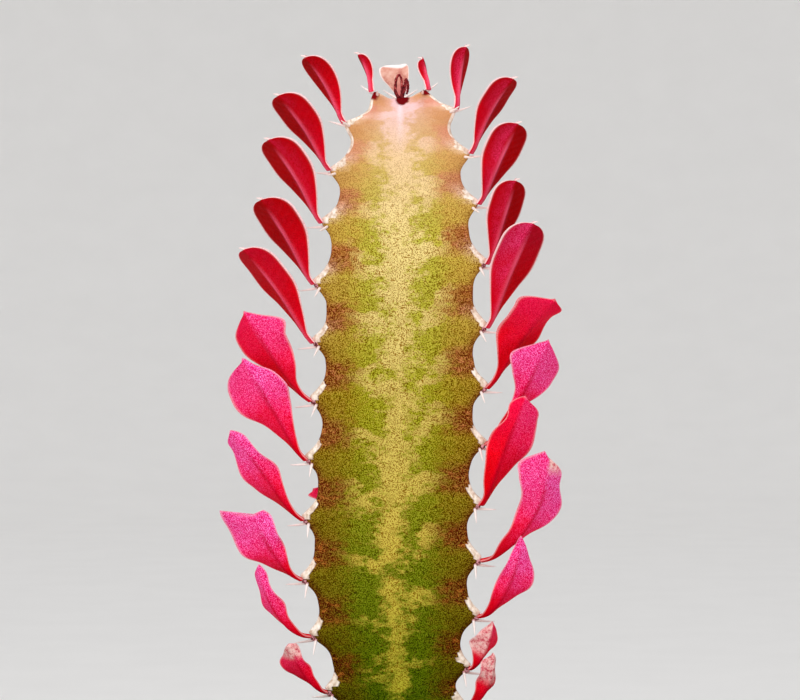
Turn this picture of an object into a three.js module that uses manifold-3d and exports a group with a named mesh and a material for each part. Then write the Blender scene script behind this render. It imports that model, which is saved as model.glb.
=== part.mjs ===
// A potted red-leaved African milk tree: a three-ribbed succulent column with a leaf and two
// spines at every tooth of its ribs, standing in soil in a plain clay pot.
// Millimetres, +Z up. The origin is the centre of the pot's underside, and -Y is the front.
import * as THREE from 'three';
import { mergeVertices } from 'three/addons/utils/BufferGeometryUtils.js';
import Module from 'manifold-3d';

const wasm = await Module();
wasm.setup();

// Pot
const POT_HEIGHT = 104;
const POT_RADIUS = 64;
const POT_FOOT_RADIUS = 44;
const COLLAR_HEIGHT = 24;
const COLLAR_STEP = 5;
const RIM_ROUNDING = 2;
const WALL = 6;
const FLOOR = 8;
const DRAIN_RADIUS = 7;
const POT_SIDES = 48;

// Soil, clear of the pot and of the column's foot by a hair
const SEAT_GAP = 0.3;
const SOIL_TOP = 92;
const SOIL_MOUND = 2.5;
const SOIL_HOLE_DEPTH = 28;

// Column: how far each row of tooth tips stands from the axis, from the growing tip down to the
// foot, and the rest of its form
const REACH = [8.4, 17.6, 22.5, 25.3, 28, 28.2, 28.6, 29, 28.8, 29.3, 27.8, 23.6, 21, 14];
const FOOT_RADIUS = 12.5;
const FOOT_TOP = 94;
const FOOT_BLEND = 16;
const BEND = 2.6;
const BEND_HEIGHT = 160;
const BEND_SPAN = 30;
const FACE_SHARE = 0.43;
const FACE_HOLLOW = 0.9;
const CREST_ROUNDING = 5;
const CREST_BREADTH = 7;
const TOOTH_DEPTH = 4.7;
const FULL_DEPTH_REACH = 14;
const SHELF_SWEEP = 2.6;
const SHELF_POWER = 1.3;
const UNDERSIDE_SWEEP = 4.1;
const UNDERSIDE_POWER = 2.2;
const CROWN_SAG = 1.9;
const CROWN_SAG_SWEEP = 10;
const CROWN_DEPTH = 4;
const RING_ANGLES = [0, 3, 7, 13, 24, 40, 60, 80, 96, 107, 113, 117];
const ROW_STEPS = [0, 0.12, 0.28, 0.5, 0.72, 0.87];

// Spines: two at each leafy tooth, spread to both sides of the rib. They rise at the growing tip,
// apart from the two that point to the front there, and droop a little on grown teeth, where one
// hangs further, the more so the older its tooth is.
const SPINE_LENGTH = 5.6;
const SPINE_RADIUS = 0.45;
const SPINE_SPREAD = 34;
const CROWN_SPREAD = 60;
const CROWN_HANG = 36;
const SPINE_ROOT = 1.2;
const SPINE_SIDES = 3;
const SPINE_INSET = [0.7, 1.7];
const SPINE_SETDOWN = [0.9, 2.4];
const SPINE_HALF_GAP = 0.5;
const SPINE_DROOP = [-34, 10];
const SPINE_HANG = 46;
const HANGING_ROWS = 8;
const YOUNG_ROWS = 4;

// Growing tip: two dark curled bracts, each made of the routes of its two legs in the plane
// across the front
const BRACT_RADIUS = 0.5;
const BRACT_FORWARD = 2;
const BRACT_STEPS = 9;
const BRACT_ROUTES = [
  [[-0.4, 285.8], [-1.3, 287.8], [-1.1, 291], [-0.3, 292.4], [0.35, 291.5]],
  [[0.4, 285.8], [0.6, 287.6], [0.5, 290.4], [0.3, 291.8]],
  [[0.6, 285.9], [1.1, 288], [1.5, 290.2], [1.7, 291.4]],
  [[1.5, 291.2], [2.1, 290.4], [2.3, 288.6], [1.9, 286.9]],
];

// Leaves
const LEAF_THICKNESS = 0.9;
const LEAF_SETOUT = [0.84, 0.15];
const LEAF_SETDOWN = [0, 1.3];
const STALK_HALF_WIDTH = 1.5;
const STALK_ELBOW = 30;
const ELBOW_LENGTH = 1.6;
const TIP_HALF_WIDTH = 0.35;
const BLADE_START = -0.12;
const WIDEST_AT = 0.74;
const TIP_POWER = 2.5;
const FOLDED_BY = 0.3;
const ROLLED_BY = 0.4;
const WAVY_FROM = 0.2;
const WAVY_BY = 0.5;
const LEADS_FROM = 0.6;
const RIPPLE_RATE = 860;
const RIPPLE_OFFSET = 140;
const LEAF_STATIONS = [0, 0.07, 0.22, 0.38, 0.54, 0.68, 0.81, 0.94, 1];
const LEAF_ACROSS = [-1, -0.5, 0, 0.5, 1];

// Each leaf from the top down: length, width, rise of the stalk and of the tip from level,
// turn to the front, roll, fold of the halves, wave of the edge. The lengths, the widths and
// the waves are in millimetres, and the rest in degrees.
const LEFT_LEAVES = [
  [11.4, 5, 98, 46, 0, 6, 16, 0],
  [21.8, 11.4, 74, 41, 0, 12, 10, 0],
  [26, 15.6, 66, 40, 0, 14, 8, 0.2],
  [28.2, 17, 67, 44, 0, 14, 8, 0.2],
  [28.4, 18, 65, 48, 0, 14, 8, 0.2],
  [33.6, 16.4, 61, 42, 0, 12, 10, 0.3],
  [31.8, 19, 47, 56, 0, 32, 8, 0.8],
  [34, 21, 58, 55, 0, 34, 8, 0.8],
  [33.2, 14, 57, 47, 0, 34, 18, 0.8],
  [23.5, 18, 50, 64, 0, 34, 10, 0.8],
  [27, 10, 32, 80, 0, 24, 28, 0.6],
  [18, 11, 44, 64, 0, 32, 30, 0.6],
];
const RIGHT_LEAVES = [
  [9, 4.6, 116, 98, 0, 6, 20, 0],
  [17.6, 8.6, 95, 70, 0, 8, 12, 0],
  [24.5, 12.2, 73, 44, 0, 10, 10, 0.2],
  [25.2, 16.2, 68, 58, 0, 14, 4, 0.2],
  [24.8, 14.6, 73, 68, 0, 14, 4, 0.2],
  [32.3, 18, 71, 59, 0, 16, 3, 0.3],
  [31.8, 18.4, 58, 44, 0, 14, 8, 0.8],
  [34.2, 19, 53, 65, -8, 32, 12, 0.8],
  [33.4, 19, 67, 63, 8, 28, 8, 0.8],
  [36.6, 20, 25, 88, -10, 32, 10, 0.8],
  [29, 13, 29, 84, 16, 28, 12, 0.8],
  [15, 12, 51, 80, 0, 24, 32, 0.6],
  [19, 11, 30, 94, 0, 24, 28, 0.6],
];
const REAR_LEAVES = [
  [9, 8.5, 84, 78, 0, 0, 10, 0],
  [19, 11, 50, 22, 0, 0, 14, 0],
  [27, 15, 64, 40, 0, 0, 12, 0.2],
  [30, 17, 62, 38, 0, 0, 10, 0.2],
  [32, 18, 64, 40, 0, 0, 10, 0.3],
  [34, 19, 62, 38, 0, 0, 10, 0.5],
  [35, 19, 60, 38, 0, 0, 12, 1],
  [36, 20, 64, 44, 0, 0, 12, 1.3],
  [36, 20, 58, 44, 0, 0, 14, 1.6],
  [39, 18, 50, 42, -59, 0, 14, 1.6],
  [27, 15, 56, 60, 0, 0, 20, 1.2],
  [16, 10, 30, 54, 0, 0, 22, 1],
];

// The older leaves are uneven. Half their width at each station after the stalk's foot, on the
// side of the column and on the outer side, how far the end of each side runs ahead of the tip,
// and the length over which the bent stalk straightens, all in millimetres.
const UNEVEN_LEAVES = {
  leaf_left_07: [[1.3, 1.5, 4.6, 6.1, 7.7, 9.5, 2.8, 0.4], [1.4, 2.8, 4.2, 6.3, 8.8, 8.6, 3.4, 0.4], 0, 0, 1.6],
  leaf_left_08: [[1.3, 2.1, 4, 5.8, 7.9, 6.4, 1.4, 0.4], [1.4, 3.2, 5.9, 10.2, 11.9, 11, 5.4, 0.4], 0, 0, 1.6],
  leaf_left_09: [[1.3, 1.5, 3, 4, 3.4, 2.6, 1.5, 0.4], [1.6, 4.2, 7.6, 8.6, 7.8, 6, 3.6, 0.9], 0, 0, 4],
  leaf_left_10: [[1.3, 1.5, 3, 3.6, 4.4, 4.7, 3.9, 2.9], [1.4, 3.5, 6.3, 9.9, 11.4, 11.5, 11.1, 10.5], 1, 4.2, 4.5],
  leaf_left_11: [[1.3, 1.7, 2.4, 3.2, 2.8, 2, 1.3, 0.5], [1.6, 3, 5.2, 5.8, 4.8, 5, 2.8, 0.5], 0, 0, 4],
  leaf_left_12: [[1.3, 1.5, 1.9, 2.2, 2.2, 2.2, 2, 1.8], [1.6, 3.5, 6.6, 9.4, 10.6, 7, 3.4, 1.8], 0, 0, 2.6],
  leaf_rear_01: [[1.4, 2, 2.4, 2.5, 2.6, 2.6, 2.3, 1.6], [1.4, 2.4, 3.6, 5, 5.8, 6.1, 5.6, 4.4], 1.1, 0.3, 1.6],
  leaf_right_07: [[1.4, 2, 6, 9.4, 11.2, 11.2, 8.2, 0.5], [1.4, 2, 4.6, 6.2, 6.6, 7, 6.4, 1.6], 0, 0, 1.6],
  leaf_right_08: [[1.3, 1.5, 1.5, 2.2, 6.8, 9.4, 3.4, 0.4], [1.4, 1.8, 2.8, 6.3, 9.9, 10.6, 3.9, 0.4], 0, 0, 1.6],
  leaf_right_09: [[1.3, 2.8, 4.1, 5, 5.2, 3, 2.8, 1], [1.4, 3, 5.6, 8, 8.6, 7.8, 5, 1], 0, 0, 1.6],
  leaf_right_10: [[1.6, 3.8, 4.4, 5.2, 7, 9.4, 7.4, 1], [1.6, 1.5, 3.4, 7.4, 10, 7.2, 4.8, 0.9], 2.6, 0, 1.6],
  leaf_right_11: [[1.6, 2.1, 3.4, 3.4, 3.4, 2.5, 1, 0.4], [1.6, 1.8, 4.2, 6.8, 6.4, 4, 1.6, 0.4], 0, 0, 1.6],
  leaf_right_12: [[1.3, 2, 3.6, 4.8, 4.6, 3.4, 1.2, 0.4], [1.4, 2.8, 4.6, 5.8, 7, 5.6, 2, 0.4], 0, 0, 2],
  leaf_right_13: [[1.3, 1.8, 2.8, 3.4, 3.7, 3.7, 2.5, 0.4], [1.4, 1.5, 2.4, 3, 3, 2.2, 1, 0.4], 0, 0, 3],
};

// Ribs, each with the heights of its teeth from the growing tip down to the leafless foot
const RIBS = {
  right: {
    turn: -30,
    teeth: [287.9, 282.5, 270.1, 256.1, 239.5, 221.6, 204.7, 188.7, 171.9, 156.2, 140.5, 125.6, 115],
    leaves: RIGHT_LEAVES,
  },
  rear: {
    turn: 90,
    teeth: [287.2, 276, 261, 245.5, 228.5, 211.6, 195.4, 178.8, 162, 145.5, 130, 117, 105],
    leaves: REAR_LEAVES,
  },
  left: {
    turn: 210,
    teeth: [287.4, 278.6, 265.4, 250.8, 233.9, 217.4, 201.1, 184.5, 167.7, 150.9, 134.9, 119, 108.5],
    leaves: LEFT_LEAVES,
  },
};
const RIB_LIST = [RIBS.right, RIBS.rear, RIBS.left];
const RIB_STEP = 120;

const CLAY = { color: 0xb8694a, roughness: 0.9, metalness: 0 };
const EARTH = { color: 0x3a2a1e, roughness: 1, metalness: 0 };
const GREEN_SKIN = { color: 0x93912e, roughness: 0.55, metalness: 0 };
const BRACT_BROWN = { color: 0x4a1512, roughness: 0.7, metalness: 0 };
const LEAF_RED = { color: 0xc8142e, roughness: 0.45, metalness: 0 };
const PALE_PINK = { color: 0xe8a794, roughness: 0.5, metalness: 0 };

const UP = new THREE.Vector3(0, 0, 1);
const radians = THREE.MathUtils.degToRad;
const mix = THREE.MathUtils.lerp;
const { smoothstep } = THREE.MathUtils;
const model = new THREE.Group();

function addPiece(name, geometry, finish) {
  geometry.computeVertexNormals();
  const mesh = new THREE.Mesh(geometry, new THREE.MeshStandardMaterial(finish));
  mesh.name = name;
  model.add(mesh);
}

function geometryFrom(corners, faces) {
  const geometry = new THREE.BufferGeometry();
  geometry.setAttribute('position', new THREE.Float32BufferAttribute(corners.flat(), 3));
  geometry.setIndex(faces);
  return geometry;
}

function solid(geometry) {
  geometry.deleteAttribute('normal');
  geometry.deleteAttribute('uv');
  const merged = mergeVertices(geometry);
  return new wasm.Manifold(new wasm.Mesh({
    numProp: 3,
    vertProperties: merged.attributes.position.array,
    triVerts: new Uint32Array(merged.index.array),
  }));
}

function geometryOf(joined) {
  const mesh = joined.getMesh();
  const geometry = new THREE.BufferGeometry();
  geometry.setAttribute('position', new THREE.BufferAttribute(mesh.vertProperties, 3));
  geometry.setIndex(new THREE.BufferAttribute(mesh.triVerts, 1));
  return geometry;
}

// Pot: a tapered wall under a plain collar, with a drain hole through its floor
const collarFoot = POT_HEIGHT - COLLAR_HEIGHT;
const mouthRadius = POT_RADIUS - WALL - 1;

function turned(profile) {
  const points = profile.map(([radius, height]) => new THREE.Vector2(radius, height));
  return new THREE.LatheGeometry(points, POT_SIDES).rotateX(radians(90));
}

function insideRadius(height) {
  if (height > collarFoot) {
    return mix(insideRadius(collarFoot), mouthRadius, (height - collarFoot) / COLLAR_HEIGHT);
  }
  return mix(POT_FOOT_RADIUS, POT_RADIUS - COLLAR_STEP, height / collarFoot) - WALL;
}

function addPot() {
  addPiece('pot', turned([
    [DRAIN_RADIUS, 0],
    [POT_FOOT_RADIUS, 0],
    [POT_RADIUS - COLLAR_STEP, collarFoot],
    [POT_RADIUS - 1, collarFoot],
    [POT_RADIUS, POT_HEIGHT - RIM_ROUNDING],
    [POT_RADIUS - RIM_ROUNDING, POT_HEIGHT],
    [mouthRadius, POT_HEIGHT],
    [insideRadius(collarFoot), collarFoot],
    [insideRadius(FLOOR), FLOOR],
    [DRAIN_RADIUS, FLOOR],
    [DRAIN_RADIUS, 0],
  ]), CLAY);
}

// Soil: it fills the pot to below the rim, mounded a little, with a plain hole for the column
const holeFloor = SOIL_TOP - SOIL_HOLE_DEPTH;

function addSoil() {
  const holeRadius = FOOT_RADIUS + SEAT_GAP;
  const edgeHeight = SOIL_TOP - SOIL_MOUND;
  const edgeRadius = insideRadius(edgeHeight) - SEAT_GAP;
  addPiece('soil', turned([
    [0, FLOOR + SEAT_GAP],
    [insideRadius(FLOOR) - SEAT_GAP, FLOOR + SEAT_GAP],
    [insideRadius(collarFoot) - SEAT_GAP, collarFoot],
    [edgeRadius, edgeHeight],
    [mix(edgeRadius, holeRadius, 0.5), SOIL_TOP - SOIL_MOUND / 3],
    [holeRadius, SOIL_TOP],
    [holeRadius, holeFloor],
    [0, holeFloor],
  ]), EARTH);
}

// Column: the reach between two rows of teeth, on a smooth curve through the rows beside them
function reachAt(row) {
  const last = REACH.length - 1;
  const start = Math.min(Math.floor(row), last - 1);
  const share = row - start;
  const [from, to] = [REACH[start], REACH[start + 1]];
  const leaving = (to - REACH[Math.max(start - 1, 0)]) / 2;
  const arriving = (REACH[Math.min(start + 2, last)] - from) / 2;
  return mix(from, to, smoothstep(share, 0, 1))
    + leaving * share * (1 - share) ** 2 - arriving * share * share * (1 - share);
}

function axisShift(height) {
  return -BEND * Math.exp(-(((height - BEND_HEIGHT) / BEND_SPAN) ** 2));
}

// How far the rib's crest lies inside the line of tooth tips: a concave shelf above each tip,
// a rounded underside below it, and the notch between
function crestDrop(teeth, height) {
  let drop = TOOTH_DEPTH;
  for (const tooth of teeth) {
    const above = Math.max(0, height - tooth);
    const below = Math.max(0, tooth - height);
    drop *= 1 - Math.exp(-((above / SHELF_SWEEP) ** SHELF_POWER)
      - (below / UNDERSIDE_SWEEP) ** UNDERSIDE_POWER);
  }
  return drop;
}

// The faces between the ribs: a triangle with hollow sides and rounded corners
function faceRadius(offRib, reach) {
  const rounded = Math.hypot(offRib, CREST_ROUNDING);
  const flat = (FACE_SHARE * reach) / Math.cos(radians(RIB_STEP / 2 - rounded));
  return flat - FACE_HOLLOW * Math.sin(radians(offRib * 1.5)) ** 2;
}

// One ring of the column: its height follows each rib's own teeth, so that every tip has a point
function stemRing(row, share) {
  const reach = reachAt(row + share);
  const depthScale = Math.min(1, reach / FULL_DEPTH_REACH);
  const heightOf = ({ teeth }) => mix(teeth[row], teeth[row + 1] ?? FOOT_TOP, share);
  const crownSag = row === 0 ? CROWN_SAG * (1 - share) : 0;
  return RIB_LIST.flatMap((rib, index) => {
    const next = RIB_LIST[(index + 1) % RIB_LIST.length];
    return RING_ANGLES.map((angle) => {
      const nearest = angle <= RIB_STEP / 2 ? rib : next;
      const offRib = Math.min(angle, RIB_STEP - angle);
      const level = mix(heightOf(rib), heightOf(next), smoothstep(angle, 0, RIB_STEP));
      const height = level - crownSag * (1 - Math.exp(-((offRib / CROWN_SAG_SWEEP) ** 2)));
      const crest = reach - depthScale * crestDrop(nearest.teeth, heightOf(nearest));
      const ridge = (crest - faceRadius(0, reach)) * Math.exp(-((offRib / CREST_BREADTH) ** 2));
      const ribbed = smoothstep(height, FOOT_TOP, FOOT_TOP + FOOT_BLEND);
      const radius = mix(FOOT_RADIUS, faceRadius(offRib, reach) + ridge, ribbed);
      const turn = radians(rib.turn + angle);
      return [axisShift(height) + radius * Math.cos(turn), radius * Math.sin(turn), height];
    });
  });
}

function footRing(height) {
  return RIB_LIST.flatMap((rib) => RING_ANGLES.map((angle) => {
    const turn = radians(rib.turn + angle);
    return [FOOT_RADIUS * Math.cos(turn), FOOT_RADIUS * Math.sin(turn), height];
  }));
}

// A closed skin over rings of points, listed from the top down, with a point at each end
function skinOverRings(rings, topPoint, bottomPoint) {
  const count = rings[0].length;
  const corners = [...rings.flat(), topPoint, bottomPoint];
  const top = corners.length - 2;
  const bottom = corners.length - 1;
  const lowest = (rings.length - 1) * count;
  const faces = [];
  for (let side = 0; side < count; side += 1) {
    const next = (side + 1) % count;
    faces.push(top, side, next, lowest + side, bottom, lowest + next);
    for (let upper = 0; upper < lowest; upper += count) {
      const lower = upper + count;
      faces.push(upper + side, lower + side, lower + next, upper + side, lower + next, upper + next);
    }
  }
  return geometryFrom(corners, faces);
}

// The tip of one tooth, with the directions out of the rib and level along its flank
function toothTip(rib, row) {
  const out = new THREE.Vector3(Math.cos(radians(rib.turn)), Math.sin(radians(rib.turn)), 0);
  const flank = new THREE.Vector3(-out.y, out.x, 0);
  const height = rib.teeth[row];
  const tip = new THREE.Vector3(axisShift(height), 0, height).addScaledVector(out, REACH[row]);
  return { tip, out, flank };
}

// From 0 at the growing tip to 1 in the grown rows
function ageOf(row) {
  return Math.min(1, row / YOUNG_ROWS);
}

function spine(rib, row, way) {
  const { tip, out, flank } = toothTip(rib, row);
  const age = ageOf(row);
  const hangs = Math.abs(flank.y) > 0.5 ? way * flank.y < 0 : way > 0;
  const hang = row === 0 ? CROWN_HANG * Math.abs(flank.y) : SPINE_HANG * Math.min(1, row / HANGING_ROWS);
  const droop = radians(mix(...SPINE_DROOP, Math.sqrt(age)) + (hangs ? hang : 0));
  const spread = radians(row === 0 ? CROWN_SPREAD : SPINE_SPREAD);
  const aim = UP.clone().multiplyScalar(-Math.sin(droop))
    .addScaledVector(out, Math.cos(spread) * Math.cos(droop))
    .addScaledVector(flank, way * Math.sin(spread))
    .normalize();
  const length = SPINE_LENGTH + SPINE_ROOT;
  const cone = new THREE.ConeGeometry(SPINE_RADIUS, length, SPINE_SIDES, 1);
  cone.translate(0, length / 2 - SPINE_ROOT, 0);
  cone.applyQuaternion(new THREE.Quaternion().setFromUnitVectors(new THREE.Vector3(0, 1, 0), aim));
  const root = tip.clone().addScaledVector(out, -mix(...SPINE_INSET, age))
    .addScaledVector(flank, SPINE_HALF_GAP * way).addScaledVector(UP, -mix(...SPINE_SETDOWN, age));
  return solid(cone.translate(root.x, root.y, root.z));
}

function addStem() {
  const rings = RIBS.right.teeth.flatMap((tooth, row) => ROW_STEPS.map((share) => stemRing(row, share)));
  const crownFloor = [0, 0, RIBS.right.teeth[0] - CROWN_DEPTH];
  const crown = rings[0].map(([x, y, z]) => [x / 2, y / 2, (z + crownFloor[2]) / 2]);
  const underside = holeFloor + SEAT_GAP;
  rings.push(footRing(FOOT_TOP - 1), footRing(underside));
  let body = solid(skinOverRings([crown, ...rings], crownFloor, [0, 0, underside]));
  for (const rib of RIB_LIST) {
    rib.leaves.forEach((leaf, row) => {
      body = body.add(spine(rib, row, 1)).add(spine(rib, row, -1));
    });
  }
  addPiece('stem', geometryOf(body), GREEN_SKIN);
}

function addBracts() {
  const section = new THREE.Shape();
  section.absarc(0, 0, BRACT_RADIUS, 0, 2 * Math.PI);
  const tubes = BRACT_ROUTES.map((route) => {
    const corners = route.map(([x, z]) => new THREE.Vector3(x, -BRACT_FORWARD, z));
    const extrudePath = new THREE.CatmullRomCurve3(corners);
    const options = { steps: BRACT_STEPS, curveSegments: 3, extrudePath };
    return solid(new THREE.ExtrudeGeometry(section, options));
  });
  addPiece('tip_bracts', geometryOf(tubes.reduce((joined, tube) => joined.add(tube))), BRACT_BROWN);
}

// Half the width of an even leaf along its length: a slim stalk, a spoon-shaped blade, a small point
function evenHalf(along, width) {
  const growing = smoothstep(along, BLADE_START, WIDEST_AT);
  const past = Math.max(0, (along - WIDEST_AT) / (1 - WIDEST_AT));
  const least = mix(STALK_HALF_WIDTH, TIP_HALF_WIDTH, along);
  return Math.max(least, (width / 2) * growing * Math.sqrt(1 - past ** TIP_POWER));
}

// The points of a leaf's upper and lower face, row by row along its midrib
function leafFaces(rib, row, numbers, uneven) {
  const [length, width, stalkRise, tipRise, turnFront, roll, fold, wave] = numbers;
  const { tip, out, flank } = toothTip(rib, row);
  const front = flank.clone().multiplyScalar(flank.y > 0 ? -1 : 1);
  const turn = radians(turnFront);
  const ahead = out.clone().multiplyScalar(Math.cos(turn)).addScaledVector(front, Math.sin(turn));
  const across = front.clone().multiplyScalar(Math.cos(turn)).addScaledVector(out, -Math.sin(turn));
  const place = tip.clone().addScaledVector(out, mix(...LEAF_SETOUT, ageOf(row)))
    .addScaledVector(UP, -mix(...LEAF_SETDOWN, ageOf(row)));
  const elbowLength = uneven?.[4] ?? ELBOW_LENGTH;
  const upper = [];
  const lower = [];
  LEAF_STATIONS.forEach((along, station) => {
    const before = LEAF_STATIONS[station - 1] ?? 0;
    const middle = (along + before) / 2;
    const elbow = STALK_ELBOW * Math.exp((-middle * length) / elbowLength);
    const rise = radians(mix(stalkRise, tipRise, middle) - elbow);
    const heading = ahead.clone().multiplyScalar(Math.cos(rise)).addScaledVector(UP, Math.sin(rise));
    const inward = UP.clone().multiplyScalar(Math.cos(rise)).addScaledVector(ahead, -Math.sin(rise));
    place.addScaledVector(heading, (along - before) * length);
    const twist = radians(roll) * smoothstep(along, 0, ROLLED_BY);
    const wide = across.clone().multiplyScalar(Math.cos(twist)).addScaledVector(inward, Math.sin(twist));
    const thick = inward.clone().multiplyScalar(Math.cos(twist)).addScaledVector(across, -Math.sin(twist));
    const even = evenHalf(along, width);
    const folded = radians(fold) * smoothstep(along, 0, FOLDED_BY);
    const waving = wave * smoothstep(along, WAVY_FROM, WAVY_BY);
    for (const part of LEAF_ACROSS) {
      const side = part > 0 ? 0 : 1;
      const half = uneven && station > 0 ? uneven[side][station - 1] : even;
      const lead = uneven ? uneven[2 + side] * part * part * smoothstep(along, LEADS_FROM, 1) : 0;
      const phase = RIPPLE_RATE * along + (part > 0 ? 0 : RIPPLE_OFFSET);
      const lift = Math.abs(part) * half * Math.sin(folded) + waving * part * part * Math.sin(radians(phase));
      const middlePoint = place.clone().addScaledVector(wide, part * half * Math.cos(folded))
        .addScaledVector(heading, lead);
      upper.push(middlePoint.clone().addScaledVector(thick, lift + LEAF_THICKNESS / 2).toArray());
      lower.push(middlePoint.clone().addScaledVector(thick, lift - LEAF_THICKNESS / 2).toArray());
    }
  });
  return { upper, lower, mirrored: flank.y > 0 };
}

// Both faces are split into triangles alike, so that a thin waved blade never crosses itself.
function leafGeometry(rib, row, numbers, uneven) {
  const { upper, lower, mirrored } = leafFaces(rib, row, numbers, uneven);
  const columns = LEAF_ACROSS.length;
  const below = upper.length;
  const faces = [];
  const add = (...corners) => faces.push(...(mirrored ? corners : corners.reverse()));
  const addQuad = (a, b, c, d) => {
    add(a, b, c);
    add(a, c, d);
  };
  for (let start = 0; start < below - columns; start += columns) {
    const ahead = start + columns;
    for (let column = 0; column < columns - 1; column += 1) {
      const [a, b, c, d] = [start + column, start + column + 1, ahead + column + 1, ahead + column];
      addQuad(a, b, c, d);
      add(below + c, below + b, below + a);
      add(below + d, below + c, below + a);
    }
    addQuad(start, ahead, below + ahead, below + start);
    addQuad(ahead - 1, below + ahead - 1, below + ahead + columns - 1, ahead + columns - 1);
  }
  for (let column = 0; column < columns - 1; column += 1) {
    const last = below - columns + column;
    addQuad(column, below + column, below + column + 1, column + 1);
    addQuad(last, last + 1, below + last + 1, below + last);
  }
  return geometryFrom([...upper, ...lower], faces);
}

function addLeaves(ribName) {
  RIBS[ribName].leaves.forEach((numbers, row) => {
    const name = `leaf_${ribName}_${String(row + 1).padStart(2, '0')}`;
    const young = ribName === 'rear' && row === 0;
    const geometry = leafGeometry(RIBS[ribName], row, numbers, UNEVEN_LEAVES[name]);
    addPiece(name, geometry, young ? PALE_PINK : LEAF_RED);
  });
}

addPot();
addSoil();
addStem();
addBracts();
addLeaves('left');
addLeaves('right');
addLeaves('rear');

export default model;
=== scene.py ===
# %% [markdown]
# # A potted red African milk tree
#
# The plant is one succulent column with three toothed ribs. Every tooth carries a red leaf and two
# spines, and the column stands in soil in a plain clay pot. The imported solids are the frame: they
# say where each piece is. This lesson puts a finer mesh and a grown-looking finish in place of each
# of them. All numbers of shape are in millimetres, as in the solids, and Blender gets metres.

import math

import bmesh
import bpy
import numpy as np
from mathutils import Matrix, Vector


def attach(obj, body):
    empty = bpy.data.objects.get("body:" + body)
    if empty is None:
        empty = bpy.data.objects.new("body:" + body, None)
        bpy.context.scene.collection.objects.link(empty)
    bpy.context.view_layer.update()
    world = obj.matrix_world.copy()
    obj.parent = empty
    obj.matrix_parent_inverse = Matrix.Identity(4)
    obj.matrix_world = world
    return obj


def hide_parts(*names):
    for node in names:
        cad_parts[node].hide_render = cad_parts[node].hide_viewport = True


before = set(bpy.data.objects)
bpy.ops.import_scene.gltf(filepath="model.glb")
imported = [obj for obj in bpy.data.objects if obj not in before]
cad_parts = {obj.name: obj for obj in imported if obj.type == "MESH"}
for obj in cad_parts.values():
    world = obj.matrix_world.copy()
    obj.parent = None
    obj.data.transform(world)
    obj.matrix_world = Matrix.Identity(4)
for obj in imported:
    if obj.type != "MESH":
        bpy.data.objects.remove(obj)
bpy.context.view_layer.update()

# %% [markdown]
# ## Helpers for growing shapes
#
# A plant is full of shapes that are a ring of points moved along a line: the column, a leaf, a
# spine, a curled bract, and even a thrown pot. They could be modelled with curves and bevels, but
# then no point knows where on the plant it is. Here each is lofted from an array of rings, so that
# the same numbers also say how young, how near an edge or how high a point is, for the finish.

# %% Arithmetic helpers
MM = 0.001


def mix(first, second, share):
    return first + (second - first) * share


def smooth(value, low, high):
    """0 below low, 1 above high and an eased step between them; low may be the higher one."""
    share = np.clip((value - low) / (high - low), 0.0, 1.0)
    return share * share * (3 - 2 * share)


def through(stations, values, wanted):
    """A smooth curve through values given at stations, read at the wanted places."""
    slopes = np.gradient(values, stations, axis=0)
    span = np.clip(np.searchsorted(stations, wanted, side="right") - 1, 0, len(stations) - 2)
    width = (stations[span + 1] - stations[span])[:, None]
    share = (wanted - stations[span])[:, None] / width
    start, end = values[span], values[span + 1]
    leave, arrive = slopes[span] * width, slopes[span + 1] * width
    eased = share * share * (3 - 2 * share)
    bent = leave * share * (1 - share) ** 2 - arrive * share ** 2 * (1 - share)
    return mix(start, end, eased) + bent


def unit(vectors):
    return vectors / np.linalg.norm(vectors, axis=-1, keepdims=True)


def swell(points, size, seed, waves=9):
    """An even, smooth unevenness from -1 to 1 over points, its swells about size across."""
    random = np.random.default_rng(seed)
    total = np.zeros(points.shape[:-1])
    for _ in range(waves):
        direction = unit(random.normal(size=3)) * random.uniform(0.6, 1.7)
        total += np.sin(points @ direction * (2 * math.pi / size) + random.uniform(0, 2 * math.pi))
    return total / (waves * 0.5)


# %% Mesh helpers
def numbered(rings):
    """The number of each point in an array of rings."""
    rows, around = rings.shape[:2]
    return np.arange(rows * around).reshape(rows, around)


def quads(upper, lower):
    """Faces of four corners all round, between rings of point numbers and the rings below."""
    corners = [upper, lower, np.roll(lower, -1, axis=1), np.roll(upper, -1, axis=1)]
    return np.stack(corners, axis=-1).reshape(-1, 4).tolist()


def loft(rings, top=None, bottom=None):
    """Faces over an array of rings of points, with each end closed on a point."""
    top = rings[0].mean(axis=0) if top is None else top
    bottom = rings[-1].mean(axis=0) if bottom is None else bottom
    corners = np.vstack([rings.reshape(-1, 3), top, bottom])
    index = numbered(rings)
    beside = np.roll(index, -1, axis=1)
    faces = quads(index[:-1], index[1:])
    faces += [[index.size, *pair] for pair in zip(index[0], beside[0])]
    faces += [[index.size + 1, *pair] for pair in zip(beside[-1], index[-1])]
    return corners, faces


def ends_too(values, first, last):
    """Values of one number a ring point, with those of the two end points after them."""
    return np.concatenate([np.ravel(values), [first, last]])


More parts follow.
